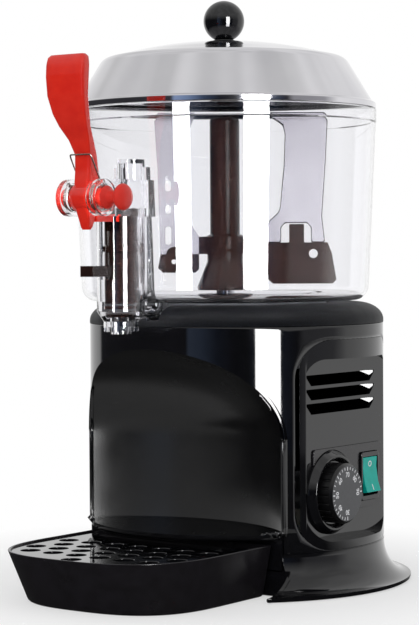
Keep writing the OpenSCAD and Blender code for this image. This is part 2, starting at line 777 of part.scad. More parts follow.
// the lid's outside in the turning plane, lowered by g
function lid_side(g) = concat([[lid_r - g, lid_low], [lid_r - g, lid_low + 4]],
    [[lid_r - 3 - g, lid_low + 5.4], [shoulder_r + 6 - g, shoulder_z - 8]],
    [for (i = [1:5]) [shoulder_r - 4 + 10 * cos(15 * i) - g * 0.6,
        shoulder_z - 8 + 10.6 * sin(15 * i) - g * 0.8]],
    [for (i = [1:8]) let(r = (shoulder_r - 12) * (1 - i / 8))
        [r, crown_z - g - (crown_z - shoulder_z - 2.4) * pow(r / (shoulder_r - 6), 2)]]);

module lid_cover() color(steel) at_bowl() difference() {
    rotate_extrude() polygon(concat(lid_side(0), reverse(lid_side(lid_wall))));
    rod(2.6, crown_z - 5, crown_z + 5);
}

module ball_knob() color(black) at_bowl() {
    top = crown_z + 33;
    difference() {
        union() {
            translate([0, 0, top - ball_r]) sphere(ball_r);
            rod(6.5, crown_z, crown_z + 4);
        }
        rod(2.5, crown_z - 1, crown_z + 18);
    }
}

module knob_screw() color(steel) at_bowl() {
    head_z = crown_z - lid_wall - 0.12;
    rod(2.5, head_z, crown_z + 16);
    rod(6, head_z - 2.6, head_z);
}

module at_stirrer() { at_bowl() rotate(stir_angle) children(); }

// a plate in the stirrer's plane, from an outline of radius and height
module stir_plate(t) { translate([0, t / 2, 0]) rotate([90, 0, 0]) linear_extrude(t) children(); }

module stirrer_column() color(brown) at_stirrer() difference() {
    union() {
        rotate_extrude() polygon([[0, 232], [22, 232], [22.4, 236], [14.5, 256], [14.5, 264], [16, 266],
            [16, 276], [column_r, 278], [column_r, column_top - 2], [column_r - 2, column_top],
            [0, column_top]]);
        box([10, -4.5, 262], [33, 4.5, 271]);
        box([-21, -4.5, 262], [-10, 4.5, 276]);
    }
    rod(9, 230, chimney_top + 1.4);
    rotate(-stir_angle)
        box([-socket_half, -socket_half, chimney_top], [socket_half, socket_half, head_top + 1]);
    rod(17, 230, 236.1);
}

module blade_right() color(clear) at_stirrer() difference() {
    stir_plate(blade_t) polygon([[35.5, 372.5], [80, 372.5], [83, 369.5], [81.4, 337.8], [78.2, 291.8],
        [80.6, 271], [33, 271], [33, 286.2], [42.7, 295], [44.3, 299], [47.6, 333.8], [48.4, 358],
        [46.7, 365]]);
    stir_plate(20) polygon([[45.2, 270], [69.2, 270], [69.2, 283], [66, 286.6], [48.4, 286.6], [45.2, 283]]);
}

module scraper_right() color(brown) at_stirrer() difference() {
    stir_plate(scraper_t) polygon([[38.4, 237.9], [86.5, 237.9], [89.5, 241], [86, 262], [82.5, 271],
        [63.6, 271], [63.6, 285.8], [51.6, 285.8], [51.6, 271], [33, 271], [33, 243]]);
    translate([71, 0, 262]) rod_y(3.6, -far, far, $fn = 32);
}

module blade_left() color(clear) at_stirrer() difference() {
    stir_plate(blade_t) polygon([[-24, 372.5], [-53, 372.5], [-56.4, 369], [-54, 330], [-52, 262],
        [-21, 262], [-21, 276.2], [-30, 290], [-32, 330], [-30, 358]]);
    for (z = [[312.5, 321.5], [294.5, 301.5], [269.5, 284.5]])
        stir_plate(20) translate([-48.2, z[0]]) round_rect([5, z[1] - z[0]], 2.4);
}

module scraper_left() color(brown) at_stirrer() difference() {
    union() {
        stir_plate(scraper_t)
            polygon([[-21, 250], [-24, 247.2], [-50, 247.2], [-54, 251], [-52, 262], [-21, 262]]);
        translate([-41.2, 0, 262]) rod_y(6, -blade_t / 2 - 2.6, -blade_t / 2);
    }
    translate([-41.2, 0, 256]) rod_y(2, -far, far, $fn = 32);
}

// the tray's outline in plan: straight sides and a full round front
function tray_plan(half, mid, reach, rear) = concat([[half, rear]],
    [for (i = [0:24]) let(a = 90 - 7.5 * i)
        [half * sign(sin(a)) * pow(abs(sin(a)), 0.7), mid - reach * pow(abs(cos(a)), 0.7)]], [[-half, rear]]);

// a thin slice of the tray's outline, the base of its hulls
module tray_slice(z, half, mid, reach, rear) {
    translate([0, 0, z]) linear_extrude(0.01) polygon(tray_plan(half, mid, reach, rear));
}

module drip_tray() color("#141518") {
    low = 0;
    foot_mid = bowl_y - 112;
    floor_t = 2.4;
    difference() {
        hull() {
            tray_slice(low, 77, foot_mid, 79.5, tray_rear);
            tray_slice(tray_top - 0.01, tray_half, tray_mid, tray_reach, tray_rear);
        }
        hull() {
            tray_slice(low + floor_t, 77 - tray_wall, foot_mid, 79.5 - tray_wall, tray_rear - tray_wall);
            tray_slice(grille_z - 1.9, tray_half - 4.4, tray_mid, tray_reach - 4.4, tray_rear - tray_wall);
        }
        translate([0, 0, grille_z - 2]) linear_extrude(2.02)
            polygon(tray_plan(tray_half - 4.4, tray_mid, tray_reach - 4.4, tray_rear - tray_wall));
        translate([0, 0, grille_z]) linear_extrude(10)
            polygon(tray_plan(tray_half - 1.9, tray_mid, tray_reach - 1.9, tray_rear - tray_wall));
    }
}

module tray_grille() color("#101114") difference() {
    translate([0, 0, grille_z + 0.3]) linear_extrude(grille_t) difference() {
        polygon(tray_plan(tray_half - 2.3, tray_mid, tray_reach - 2.3, tray_rear - tray_wall - 1));
        translate([0, body_y]) circle(body_r + 1, $fn = 120);
    }
    for (row = [0:5], i = [-4:4]) {
        x = (i + (row % 2) / 2) * hole_pitch;
        y = bowl_y - 196 + row * hole_pitch * 0.87;
        across = abs(x) / (tray_half - 14);
        along = max(0, tray_mid - y) / (tray_reach - 14);
        if (pow(across, 2.86) + pow(along, 2.86) < 1 && norm([x, y - body_y]) > body_r + hole_r + 4)
            translate([x, y, 0]) rod(hole_r, grille_z - 1, grille_z + 5, $fn = 48);
    }
}

base_skirt();
base_plate();
feet();
foot_screws();
body_shell();
niche_liner();
control_panel();
control_plate();
switch_bezel();
switch_body();
switch_rocker();
dial_ring();
dial();
thermostat_body();
deck_collar();
deck_screws();
water_bath();
heating_element();
heated_dish();
bowl_gasket();
gear_motor();
motor_bracket();
motor_screws();
drive_shaft();
shaft_bush();
shaft_seal();
safety_thermostat();
terminal_block();
cord_gland();
bowl();
tap_housing();
hinge_pin();
tap_lever();
return_spring();
tap_piston();
piston_seals();
lid_cover();
ball_knob();
knob_screw();
stirrer_column();
blade_right();
blade_left();
scraper_right();
scraper_left();
drip_tray();
tray_grille();
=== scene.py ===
import math

import bmesh
import bpy
from mathutils import Matrix, Vector
from mathutils.bvhtree import BVHTree


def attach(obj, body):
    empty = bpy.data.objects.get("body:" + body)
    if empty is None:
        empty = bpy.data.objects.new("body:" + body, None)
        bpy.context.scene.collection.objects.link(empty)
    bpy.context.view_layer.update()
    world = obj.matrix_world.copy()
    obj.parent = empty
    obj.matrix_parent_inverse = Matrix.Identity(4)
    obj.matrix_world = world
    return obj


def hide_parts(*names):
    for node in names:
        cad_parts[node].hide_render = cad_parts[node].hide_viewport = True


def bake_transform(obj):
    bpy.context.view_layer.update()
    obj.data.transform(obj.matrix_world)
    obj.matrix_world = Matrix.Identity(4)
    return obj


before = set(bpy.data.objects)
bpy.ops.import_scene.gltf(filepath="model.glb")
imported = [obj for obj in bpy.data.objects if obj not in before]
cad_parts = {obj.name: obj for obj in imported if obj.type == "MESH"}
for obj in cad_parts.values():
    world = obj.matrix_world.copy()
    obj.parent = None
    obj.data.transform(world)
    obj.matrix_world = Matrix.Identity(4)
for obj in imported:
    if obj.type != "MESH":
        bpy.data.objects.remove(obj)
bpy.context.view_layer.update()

mm = 0.001  # pieces are drawn in millimetres, and brought to metres when they are finished

# the machine's axes in the frame: +X is the control side, -Y the front
layout = {
    "bodyY": 42.4,      # axis of the round body
    "bowlY": 27.1,      # axis of the bowl, the lid and the stirrer
    "hingeY": -147.7,   # the lever's hinge
    "hingeZ": 304.4,
    "stirAngle": 35.6,  # plane of the stirrer's blades
}


def addObject(name, data):
    thing = bpy.data.objects.new(name, data)
    bpy.context.scene.collection.objects.link(thing)
    return thing


# camera: stood where the photograph was taken from
camera = {
    "place": (0.98522, -1.34884, 0.26575),
    "heading": 36.04,   # turned left of +Y, degrees
    "pitch": -1.72,
    "roll": -0.33,
    "lens": 120.97,
    "sensor": 36.0,
}
print("camera")
cameraData = bpy.data.cameras.new("camera")
cameraData.lens = camera["lens"]
cameraData.sensor_width = camera["sensor"]
cameraObject = addObject("camera", cameraData)
cameraObject.matrix_world = (
    Matrix.Translation(camera["place"])
    @ Matrix.Rotation(math.radians(camera["heading"]), 4, "Z")
    @ Matrix.Rotation(math.radians(90 + camera["pitch"]), 4, "X")
    @ Matrix.Rotation(math.radians(camera["roll"]), 4, "Z")
)
bpy.context.scene.camera = cameraObject


# finishes
def linearColour(hexText):
    parts = [int(hexText[i:i + 2], 16) / 255 for i in (1, 3, 5)]
    return [p / 12.92 if p <= 0.04045 else ((p + 0.055) / 1.055) ** 2.4 for p in parts] + [1.0]


def addNode(tree, kind, settings=None, links=None):
    # settings set an input, by name or number, a ramp's stops, or a property; links join an input to an output
    node = tree.nodes.new("ShaderNode" + kind)
    for name, value in (settings or {}).items():
        if name == "stops":
            ramp = node.color_ramp.elements
            for number, (position, tone) in enumerate(value):
                stop = ramp[number] if number < 2 else ramp.new(position)
                stop.position = position
                stop.color = linearColour(tone)
        elif isinstance(name, int) or name in node.inputs:
            node.inputs[name].default_value = value
        else:
            setattr(node, name, value)
    for name, source in (links or {}).items():
        tree.links.new(source, node.inputs[name])
    return node


def startFinish(name, settings):
    material = bpy.data.materials.new(name)
    material.use_nodes = True
    tree = material.node_tree
    tree.nodes.clear()
    shader = addNode(tree, "BsdfPrincipled", settings)
    addNode(tree, "OutputMaterial", links={"Surface": shader.outputs["BSDF"]})
    place = addNode(tree, "TexCoord").outputs["Object"]
    return material, tree, shader, place


def finishSurface(tree, shader, colour, worn, gloss, relief, strength, depth):
    # worn is the pattern that varies the gloss, relief the one that stands up by a depth in millimetres
    sheen = addNode(tree, "MapRange", {"From Min": 0.3, "From Max": 0.7, "To Min": gloss[0], "To Max": gloss[1]},
                    {"Value": worn})
    bump = addNode(tree, "Bump", {"Strength": strength, "Distance": depth * mm}, {"Height": relief})
    tree.links.new(sheen.outputs["Result"], shader.inputs["Roughness"])
    tree.links.new(bump.outputs["Normal"], shader.inputs["Normal"])
    if colour:
        tree.links.new(colour, shader.inputs["Base Color"])


def patternScale(size):
    return 1000 / size  # noise cycles for each metre, from a grain size in millimetres


def toneStops(tones):
    return [(0.35, tones[0]), (0.65, tones[1])]


# moulded plastic or rubber: two close tones, a skin of fine waves, and handling marks in the gloss
def mouldedFinish(name, tones, gloss, skin, ior=1.5, grain=9.0):
    material, tree, shader, place = startFinish(name, {"IOR": ior})
    size, strength, depth = skin
    cloud = addNode(tree, "TexNoise", {"Scale": patternScale(grain), "Detail": 4.0}, {"Vector": place})
    colour = addNode(tree, "ValToRGB", {"stops": toneStops(tones)}, {"Fac": cloud.outputs["Fac"]})
    handled = addNode(tree, "TexNoise", {"Scale": patternScale(grain * 3), "Detail": 3.0}, {"Vector": place})
    waves = addNode(tree, "TexNoise", {"Scale": patternScale(size), "Detail": 2.0}, {"Vector": place})
    finishSurface(tree, shader, colour.outputs["Color"], handled.outputs["Fac"], gloss,
                  waves.outputs["Fac"], strength, depth)
    return material


# sheet or turned metal: fine lines along the way it was worked
def metalFinish(name, tones, gloss, lines, strength, grain=14.0):
    material, tree, shader, place = startFinish(name, {"Metallic": 1.0})
    cloud = addNode(tree, "TexNoise", {"Scale": patternScale(grain), "Detail": 3.0}, {"Vector": place})
    colour = addNode(tree, "ValToRGB", {"stops": toneStops(tones)}, {"Fac": cloud.outputs["Fac"]})
    drawn = addNode(tree, "Mapping", {"Scale": lines}, {"Vector": place})
    worked = addNode(tree, "TexNoise", {"Scale": patternScale(1.0), "Detail": 2.0},
                     {"Vector": drawn.outputs["Vector"]}).outputs["Fac"]
    finishSurface(tree, shader, colour.outputs["Color"], worked, gloss, worked, strength, 0.02)
    return material


# polycarbonate, injection moulded: water clear, with faint flow waves and wiping haze
def clearFinish(name, tone, gloss, wave):
    material, tree, shader, place = startFinish(
        name, {"IOR": 1.585, "Transmission Weight": 1.0, "Base Color": linearColour(tone)})
    wiped = addNode(tree, "TexNoise", {"Scale": patternScale(40.0), "Detail": 3.0}, {"Vector": place})
    flow = addNode(tree, "TexNoise", {"Scale": patternScale(30.0), "Detail": 1.0}, {"Vector": place})
    finishSurface(tree, shader, None, wiped.outputs["Fac"], gloss, flow.outputs["Fac"], wave, 0.05)
    return material


print("finishes")
finishes = {
    # ABS, injection moulded in a polished tool: near black with sharp reflections
    "gloss_black_abs": mouldedFinish("glossBlackAbs", ("#0a0a0c", "#0d0d10"),
                                     (0.035, 0.07), (14.0, 0.05, 0.03), 1.54),
    # ABS with a fine spark-eroded grain: dark with a soft broad sheen
    "satin_black_abs": mouldedFinish("satinBlackAbs", ("#141215", "#19171b"),
                                     (0.2, 0.28), (0.9, 0.25, 0.03), 1.52),
    # 18/10 stainless steel, pressed and polished
    "polished_steel": metalFinish("polishedSteel", ("#d2d1d5", "#dad9dc"),
                                  (0.05, 0.09), (0.02, 0.02, 0.2), 0.01, 60.0),
    # 18/10 stainless steel sheet as it comes from the mill
    "steel_sheet": metalFinish("steelSheet", ("#a9abae", "#b8babc"), (0.28, 0.38), (0.1, 1.0, 0.1), 0.15),
    # zinc plated steel screws
    "zinc_screws": metalFinish("zincScrews", ("#b3b4b0", "#c6c7c4"), (0.25, 0.4), (1.0, 1.0, 1.0), 0.2),
    # hard drawn stainless wire
    "spring_steel": metalFinish("springSteel", ("#9a938c", "#b4ada6"), (0.2, 0.3), (0.2, 1.0, 1.0), 0.1),
    "clear_polycarbonate": clearFinish("clearPolycarbonate", "#fdfdff", (0.0, 0.02), 0.04),
    # the blades have been washed often: a grey haze over the clear plastic
    "clear_blade": clearFinish("hazedPolycarbonate", "#cdcad3", (0.12, 0.2), 0.1),
    # ABS, gloss red, evenly coloured through
    "red_abs": mouldedFinish("redAbs", ("#cb2115", "#d22819"), (0.14, 0.22), (6.0, 0.1, 0.04), 1.54),
    # acetal, dark brown: waxy, with soft highlights
    "brown_acetal": mouldedFinish("brownAcetal", ("#1f110e", "#261612"), (0.09, 0.15), (2.5, 0.2, 0.03), 1.48),
    # tinted polycarbonate of a lit rocker
    "green_rocker": mouldedFinish("greenPolycarbonate", ("#00a596", "#04b0a2"),
                                  (0.2, 0.3), (5.0, 0.05, 0.03), 1.3),
    # nitrile rubber: dull and slightly dusty
    "black_rubber": mouldedFinish("nitrileRubber", ("#1b1b1d", "#262628"), (0.6, 0.75), (0.8, 0.35, 0.05), 1.5),
    "silicone_gasket": mouldedFinish("siliconeRubber", ("#3a3c40", "#45474b"),
                                     (0.45, 0.55), (1.2, 0.2, 0.03), 1.43),
    # sintered bronze, oil filled
    "bronze_bush": metalFinish("sinteredBronze", ("#a9773c", "#bf8d4e"),
                               (0.35, 0.45), (1.0, 1.0, 1.0), 0.4, 3.0),
    # cast and painted gearbox
    "motor_grey": mouldedFinish("greyEnamel", ("#83858a", "#8f9196"), (0.35, 0.45), (2.0, 0.3, 0.05), 1.5),
    # nickel alloy sheath of the heating element, blued by heat
    "heater_alloy": metalFinish("nickelAlloy", ("#6f665e", "#8c8780"), (0.35, 0.5), (1.0, 1.0, 1.0), 0.3, 6.0),
    "cream_block": mouldedFinish("creamPolyamide", ("#e0dbcb", "#e9e5d8"), (0.4, 0.5), (1.5, 0.2, 0.03), 1.53),
}


# ABS top moulding with a coarse eroded grain: matt blue-black, with pale specks painted into its colour as painted
# glints where the grain catches light
def deckFinish():
    material, tree, shader, place = startFinish("grainedBlackAbs", {"IOR": 1.35})
    grain = addNode(tree, "TexVoronoi", {"Scale": patternScale(1.3)}, {"Vector": place}).outputs["Distance"]
    # the paler of the two tones is the painted glint on the grain
    tones = addNode(tree, "ValToRGB", {"stops": [(0.05, "#141821"), (0.55, "#08090d")]}, {"Fac": grain})
    handled = addNode(tree, "TexNoise", {"Scale": patternScale(20.0), "Detail": 3.0}, {"Vector": place})
    finishSurface(tree, shader, tones.outputs["Color"], handled.outputs["Fac"], (0.5, 0.6), grain, 0.45, 0.12)
    return material


finishes["deck_black"] = deckFinish()
# pad printed white ink on the dial and the rocker
whiteInk = mouldedFinish("whiteInk", ("#d4d5d8", "#e6e7e9"), (0.4, 0.5), (0.6, 0.1, 0.02), 1.5)


# making a piece
def rounded(corners, steps=6):
    # an outline from corners (a, b) or (a, b, radius); each radius becomes an arc
    points = []
    count = len(corners)
    for i, corner in enumerate(corners):
        here = Vector(corner[:2])
        radius = corner[2] if len(corner) > 2 else 0
        if radius == 0:
            points.append(tuple(here))
            continue
        toLast = (Vector(corners[i - 1][:2]) - here).normalized()
        toNext = (Vector(corners[(i + 1) % count][:2]) - here).normalized()
        half = toLast.angle(toNext) / 2
        centre = here + (toLast + toNext).normalized() * radius / math.sin(half)
        first = here + toLast * radius / math.tan(half) - centre
        last = here + toNext * radius / math.tan(half) - centre
        sweep = first.angle_signed(last)
        for k in range(steps + 1):
            arm = first.copy()
            arm.rotate(Matrix.Rotation(-sweep * k / steps, 2))
            points.append(tuple(centre + arm))
    return points


def turned(bm, outline, centre=(0, 0), steps=96, closed=True):
    # spins an outline of (radius, height) round a vertical axis
    verts = [bm.verts.new((r, 0, z)) for r, z in outline]
    pairs = list(zip(verts, verts[1:])) + ([(verts[-1], verts[0])] if closed else [])
    edges = [bm.edges.new(p) for p in pairs]
    bmesh.ops.spin(bm, geom=verts + edges, cent=(0, 0, 0), axis=(0, 0, 1), dvec=(0, 0, 0),
                   angle=2 * math.pi, steps=steps, use_merge=True, use_duplicate=False)
    verts = linkedVerts(verts)
    bmesh.ops.remove_doubles(bm, verts=verts, dist=0.001)
    verts = [v for v in verts if v.is_valid]
    bmesh.ops.translate(bm, verts=verts, vec=(centre[0], centre[1], 0))
    return verts


def linkedVerts(start):
    found = set(start)
    waiting = list(start)
    while waiting:
        vert = waiting.pop()
        for edge in vert.link_edges:
            other = edge.other_vert(vert)
            if other not in found:
                found.add(other)
                waiting.append(other)
    return list(found)


def layAlongX(bm, verts, y, z):
    # turns what was spun about Z at the origin to lie along X, through (y, z)
    bmesh.ops.rotate(bm, verts=verts, cent=(0, 0, 0), matrix=Matrix.Rotation(math.radians(90), 3, "Y"))
    bmesh.ops.translate(bm, verts=verts, vec=(0, y, z))


def prism(bm, outline, low, high, axis="Z"):
    # a flat outline drawn out along an axis; (a, b) are the other two axes in order
    turn = {"X": lambda a, b: (low, a, b), "Y": lambda a, b: (a, low, b), "Z": lambda a, b: (a, b, low)}[axis]
    way = Vector({"X": (1, 0, 0), "Y": (0, 1, 0), "Z": (0, 0, 1)}[axis]) * (high - low)
    face = bm.faces.new([bm.verts.new(turn(a, b)) for a, b in outline])
    grown = bmesh.ops.extrude_face_region(bm, geom=[face], use_keep_orig=True)["geom"]
    verts = [g for g in grown if isinstance(g, bmesh.types.BMVert)]
    bmesh.ops.translate(bm, verts=verts, vec=way)
    return verts + list(face.verts)


def gridSheet(bm, across, up, place):
    # a grid of quads whose points are laid by place(u, v), with u and v from 0 to 1
    made = bmesh.ops.create_grid(bm, x_segments=across, y_segments=up, size=0.5)["verts"]
    for vert in made:
        u = min(max(vert.co.x + 0.5, 0), 1)
        v = min(max(vert.co.y + 0.5, 0), 1)
        vert.co = Vector(place(u, v))
    return made


def roundEdges(bm, width, segments=3, angle=32, chosen=None):
    edges = [e for e in bm.edges if len(e.link_faces) == 2 and e.calc_face_angle(0) > math.radians(angle)
             and (chosen is None or chosen(e))]
    bmesh.ops.bevel(bm, geom=edges, offset=width, segments=segments, profile=0.5,
                    affect="EDGES", clamp_overlap=True, material=-1)


def finishPiece(name, bm, body, slot, replaced=(), recalc=True, weighted=True, material=None):
    bmesh.ops.remove_doubles(bm, verts=bm.verts, dist=0.004)
    if recalc:
        bmesh.ops.recalc_face_normals(bm, faces=bm.faces)
    bmesh.ops.scale(bm, vec=(mm, mm, mm), verts=bm.verts)
    mesh = bpy.data.meshes.new(name)
    bm.to_mesh(mesh)
    bm.free()
    mesh.shade_smooth()
    mesh.set_sharp_from_angle(angle=math.radians(40))
    piece = addObject(name, mesh)
    piece.data.materials.append(material or finishes[slot])
    if weighted:
        level = piece.modifiers.new("faceNormals", "WEIGHTED_NORMAL")
        level.keep_sharp = True
    if body:
        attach(piece, body)
    if replaced:
        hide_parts(*replaced)
    return piece


def curveMesh(curve):
    holder = addObject(curve.name, curve)
    mesh = bpy.data.meshes.new_from_object(holder.evaluated_get(bpy.context.evaluated_depsgraph_get()))
    bpy.data.objects.remove(holder)
    return mesh


def addWall(piece, thickness):
    # a skin drawn as the outside face gets its thickness inwards
    thick = piece.modifiers.new("wall", "SOLIDIFY")
    thick.thickness = thickness * mm
    thick.offset = -1


def faceAway(bm, centre, faces=None):
    # turns a skin so that its outside faces away from a point
    bmesh.ops.recalc_face_normals(bm, faces=bm.faces)
    if sum(f.normal.dot(f.calc_center_median() - Vector(centre)) for f in faces or bm.faces) < 0:
        bmesh.ops.reverse_faces(bm, faces=bm.faces)


def softenedCopy(name, node, body, slot, width, segments=3, shape=None, angle=32, material=None, extra=None):
    # the CAD node's own solid with its edges broken, as a mould or a press leaves them
    bm = bmesh.new()
    bm.from_mesh(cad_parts[node].data)
    bmesh.ops.scale(bm, vec=(1 / mm, 1 / mm, 1 / mm), verts=bm.verts)
    bmesh.ops.remove_doubles(bm, verts=bm.verts, dist=0.002)
    bmesh.ops.dissolve_limit(bm, angle_limit=math.radians(0.8), use_dissolve_boundaries=False,
                             verts=bm.verts, edges=bm.edges, delimit={"NORMAL"})
    if shape:
        shape(bm)
    roundEdges(bm, width, segments, angle)
    if extra:
        extra(bm)
    return finishPiece(name, bm, body, slot, (node,), recalc=False, material=material)


# base skirt
skirt = {"foot": 140.4, "neck": 118.9, "low": 4.0, "top": 33.0, "wall": 3.0, "bay": 98.0, "bayWall": 2.5,
         "bayBack": -30.9}
print("skirt")


def flarePoint(rise):
    return (skirt["neck"] + (skirt["foot"] - skirt["neck"]) * (1 - math.sin(rise)),
            skirt["low"] + (skirt["top"] - skirt["low"]) * (1 - math.cos(rise)))


def flareHeight(radius):
    share = 1 - (radius - skirt["neck"]) / (skirt["foot"] - skirt["neck"])
    return flarePoint(math.asin(max(0, min(1, share))))[1]


def makeSkirt():
    bm = bmesh.new()
    outline = [(skirt["foot"] - 1.5, 0.6), (skirt["foot"] - 0.4, 1.2), (skirt["foot"], 2.4)]
    outline += [flarePoint(math.radians(90 * i / 24)) for i in range(25)]
    turned(bm, outline, (0, layout["bodyY"]), 192, closed=False)
    for x, y in ((-skirt["bay"], 0), (skirt["bay"], 0), (0, skirt["bayBack"])):
        bmesh.ops.bisect_plane(bm, geom=bm.verts[:] + bm.edges[:] + bm.faces[:], dist=0.0001,
                               plane_co=(x, y, 0), plane_no=(1, 0, 0) if x else (0, 1, 0))
    inBay = [f for f in bm.faces if abs(f.calc_center_median().x) < skirt["bay"]
             and f.calc_center_median().y < skirt["bayBack"]]
    bmesh.ops.delete(bm, geom=inBay, context="FACES")
    faceAway(bm, (0, layout["bodyY"], 20))
    bmesh.ops.solidify(bm, geom=bm.faces[:], thickness=skirt["wall"])
    roundEdges(bm, 0.5, 2, 50)
    # the bay's side and back walls
    front = layout["bodyY"] - math.sqrt(skirt["foot"] ** 2 - skirt["bay"] ** 2)
    for side in (-1, 1):
        ys = [skirt["bayBack"] + (front - skirt["bayBack"]) * i / 12 for i in range(13)]
        tops = [(y, flareHeight(math.hypot(skirt["bay"] + 1.5, y - layout["bodyY"])) - 0.4) for y in ys]
        outline = [(ys[0], 1.0)] + tops + [(ys[-1], 1.0)]
        reach = sorted((side * skirt["bay"], side * (skirt["bay"] + skirt["bayWall"])))
        prism(bm, outline, reach[0], reach[1], "X")
    for half, low, high in ((skirt["bay"] + 1, 1, 21), (93, 20, 44.6)):
        prism(bm, [(-half, low), (half, low), (half, high), (-half, high)],
              skirt["bayBack"], skirt["bayBack"] + skirt["bayWall"], "Y")
    return finishPiece("baseSkirt", bm, "casing", "gloss_black_abs", ("base_skirt",))


makeSkirt()


# body shell with the scooped niche
shell = {"radius": 118.7, "wall": 2.5, "top": 207.0, "low": 33.0, "bayTop": 44.8, "shelf": 48.5,
         "nicheRadius": 131.4, "nicheY": -121.0, "spring": 119.0, "dome": 74.8,
         "panel": (-22.1, 111.4, 33.6, 196.0), "panelCorner": 30.0}
print("body shell")


# the scoop is cut deep in the tool and comes out less polished than the outside
nicheBlack = mouldedFinish("nicheBlackAbs", ("#0a0a0b", "#0d0d0e"), (0.2, 0.28), (14.0, 0.05, 0.03), 1.5)


def bodyPoint(angle, z, radius=None):
    # angle in degrees from +X towards +Y
    r = shell["radius"] if radius is None else radius
    return (r * math.cos(math.radians(angle)), layout["bodyY"] + r * math.sin(math.radians(angle)), z)


def nicheEdge():
    # where the niche's upright wall leaves the body: half width and Y
    gap = layout["bodyY"] - shell["nicheY"]
    along = (gap ** 2 + shell["radius"] ** 2 - shell["nicheRadius"] ** 2) / (2 * gap)
    return math.sqrt(shell["radius"] ** 2 - along ** 2), layout["bodyY"] - along


def archPoint(u):
    # a point on the arch, u from 0 at the left through 1/2 in front to 1 at the right
    half, edgeY = nicheEdge()
    x = half * math.sin(math.pi * (u - 0.5))
    y = layout["bodyY"] - math.sqrt(shell["radius"] ** 2 - x * x)
    reach = min(math.hypot(x, y - shell["nicheY"]), shell["nicheRadius"])
    rise = math.acos(reach / shell["nicheRadius"])
    return x, y, shell["spring"] + shell["dome"] * math.sin(rise), rise


def makeShell():
    bm = bmesh.new()
    half, edgeY = nicheEdge()
    edgeAngle = math.degrees(math.atan2(edgeY - layout["bodyY"], half))
    upper, middle, across = 22, 18, 120

    # side heights, shared by every sheet that meets the niche's upright edge
    heights = [shell["low"], 38.9, shell["bayTop"], shell["shelf"]]
    heights += [shell["shelf"] + (shell["spring"] - shell["shelf"]) * i / middle for i in range(1, middle + 1)]
    heights += [shell["spring"] + (shell["top"] - shell["spring"]) * i / upper for i in range(1, upper + 1)]
    rows = len(heights) - 1

    def overArch(u, v):
        x, y, z, rise = archPoint(u)
        return x, y, z + (shell["top"] - z) * v

    def nichePoint(x, y, r, z):
        turn = math.atan2(x, y - shell["nicheY"])
        return r * math.sin(turn), shell["nicheY"] + r * math.cos(turn), z

    def dome(u, v):
        x, y, z, rise = archPoint(u)
        low = rise * (1 - v)
        return nichePoint(x, y, shell["nicheRadius"] * math.cos(low),
                          shell["spring"] + shell["dome"] * math.sin(low))

    def wall(u, v):
        x, y, z, rise = archPoint(u)
        return nichePoint(x, y, shell["nicheRadius"], shell["spring"] + (shell["shelf"] - shell["spring"]) * v)

    def shelfTop(u, v):
        back = Vector(wall(u, 1))
        x, y, z, rise = archPoint(u)
        return back.lerp(Vector((x, y, shell["shelf"])), v)

    def shelfFront(u, v):
        x, y, z, rise = archPoint(u)
        return x, y, shell["shelf"] + (shell["bayTop"] - shell["shelf"]) * v

    gridSheet(bm, across, upper, overArch)
    gridSheet(bm, across, 20, dome)
    gridSheet(bm, across, middle, wall)
    gridSheet(bm, across, 12, shelfTop)
    gridSheet(bm, across, 1, shelfFront)

    # round the back, from the panel's rear side to the left edge of the niche
    panelRear = 47.0
    leftEdge = 180 - edgeAngle

    def back(u, v):
        return bodyPoint(panelRear + (leftEdge - panelRear) * u, heights[round(v * rows)])

    gridSheet(bm, 90, rows, back)

    # the ring round the panel's opening: inner loop on its outline, outer loop on the sheets it meets
    y0, y1, z0, z1 = shell["panel"]
    corner = shell["panelCorner"]
    ends = 30
    loop = [(edgeAngle, z) for z in heights]
    loop += [(edgeAngle + (panelRear - edgeAngle) * i / ends, shell["top"]) for i in range(1, ends + 1)]
    loop += [(panelRear, z) for z in reversed(heights[:-1])]
    loop += [(panelRear + (edgeAngle - panelRear) * i / ends, shell["low"]) for i in range(1, ends + 1)]

    def ring(u, v):
        angle, z = loop[round(u * (len(loop) - 1))]
        y = layout["bodyY"] + shell["radius"] * math.sin(math.radians(angle))
        heart = Vector((min(max(y, y0 + corner), y1 - corner), min(max(z, z0 + corner), z1 - corner)))
        arm = Vector((y, z)) - heart
        inner = heart + arm.normalized() * corner
        innerAngle = math.degrees(math.asin((inner.x - layout["bodyY"]) / shell["radius"]))
        return bodyPoint(angle + (innerAngle - angle) * v, z + (inner.y - z) * v)

    gridSheet(bm, len(loop) - 1, 4, ring)
    bmesh.ops.remove_doubles(bm, verts=bm.verts, dist=0.02)
    faceAway(bm, (0, layout["bodyY"], 20), [f for f in bm.faces if f.calc_center_median().y > layout["bodyY"]])
    roundEdges(bm, 0.9, 3, 35)
    piece = finishPiece("bodyShell", bm, "casing", "gloss_black_abs", ("body_shell", "niche_liner"),
                        recalc=False)
    piece.data.materials.append(nicheBlack)
    for face in piece.data.polygons:
        spot = face.center / mm
        inset = shell["radius"] - math.hypot(spot.x, spot.y - layout["bodyY"])
        if inset > 0.4 and spot.y < layout["bodyY"] and shell["shelf"] - 0.3 < spot.z < shell["top"] - 1:
            face.material_index = 1
    addWall(piece, shell["wall"])


makeShell()


# deck collar
print("deck collar")
# the collar's hole is on the bowl's axis, so the copy of the solid keeps it and its front notch
softenedCopy("deckCollar", "deck_collar", "casing", "deck_black", 0.8, 3, angle=40)


# control side
print("controls")
vents = {"left": -13.4, "right": 84.1, "rows": (143.0, 154.0, 164.9), "slant": 6.5, "reach": 9.0, "face": 103.9,
         "deep": 95.8, "high": 3.7, "low": -1.4}


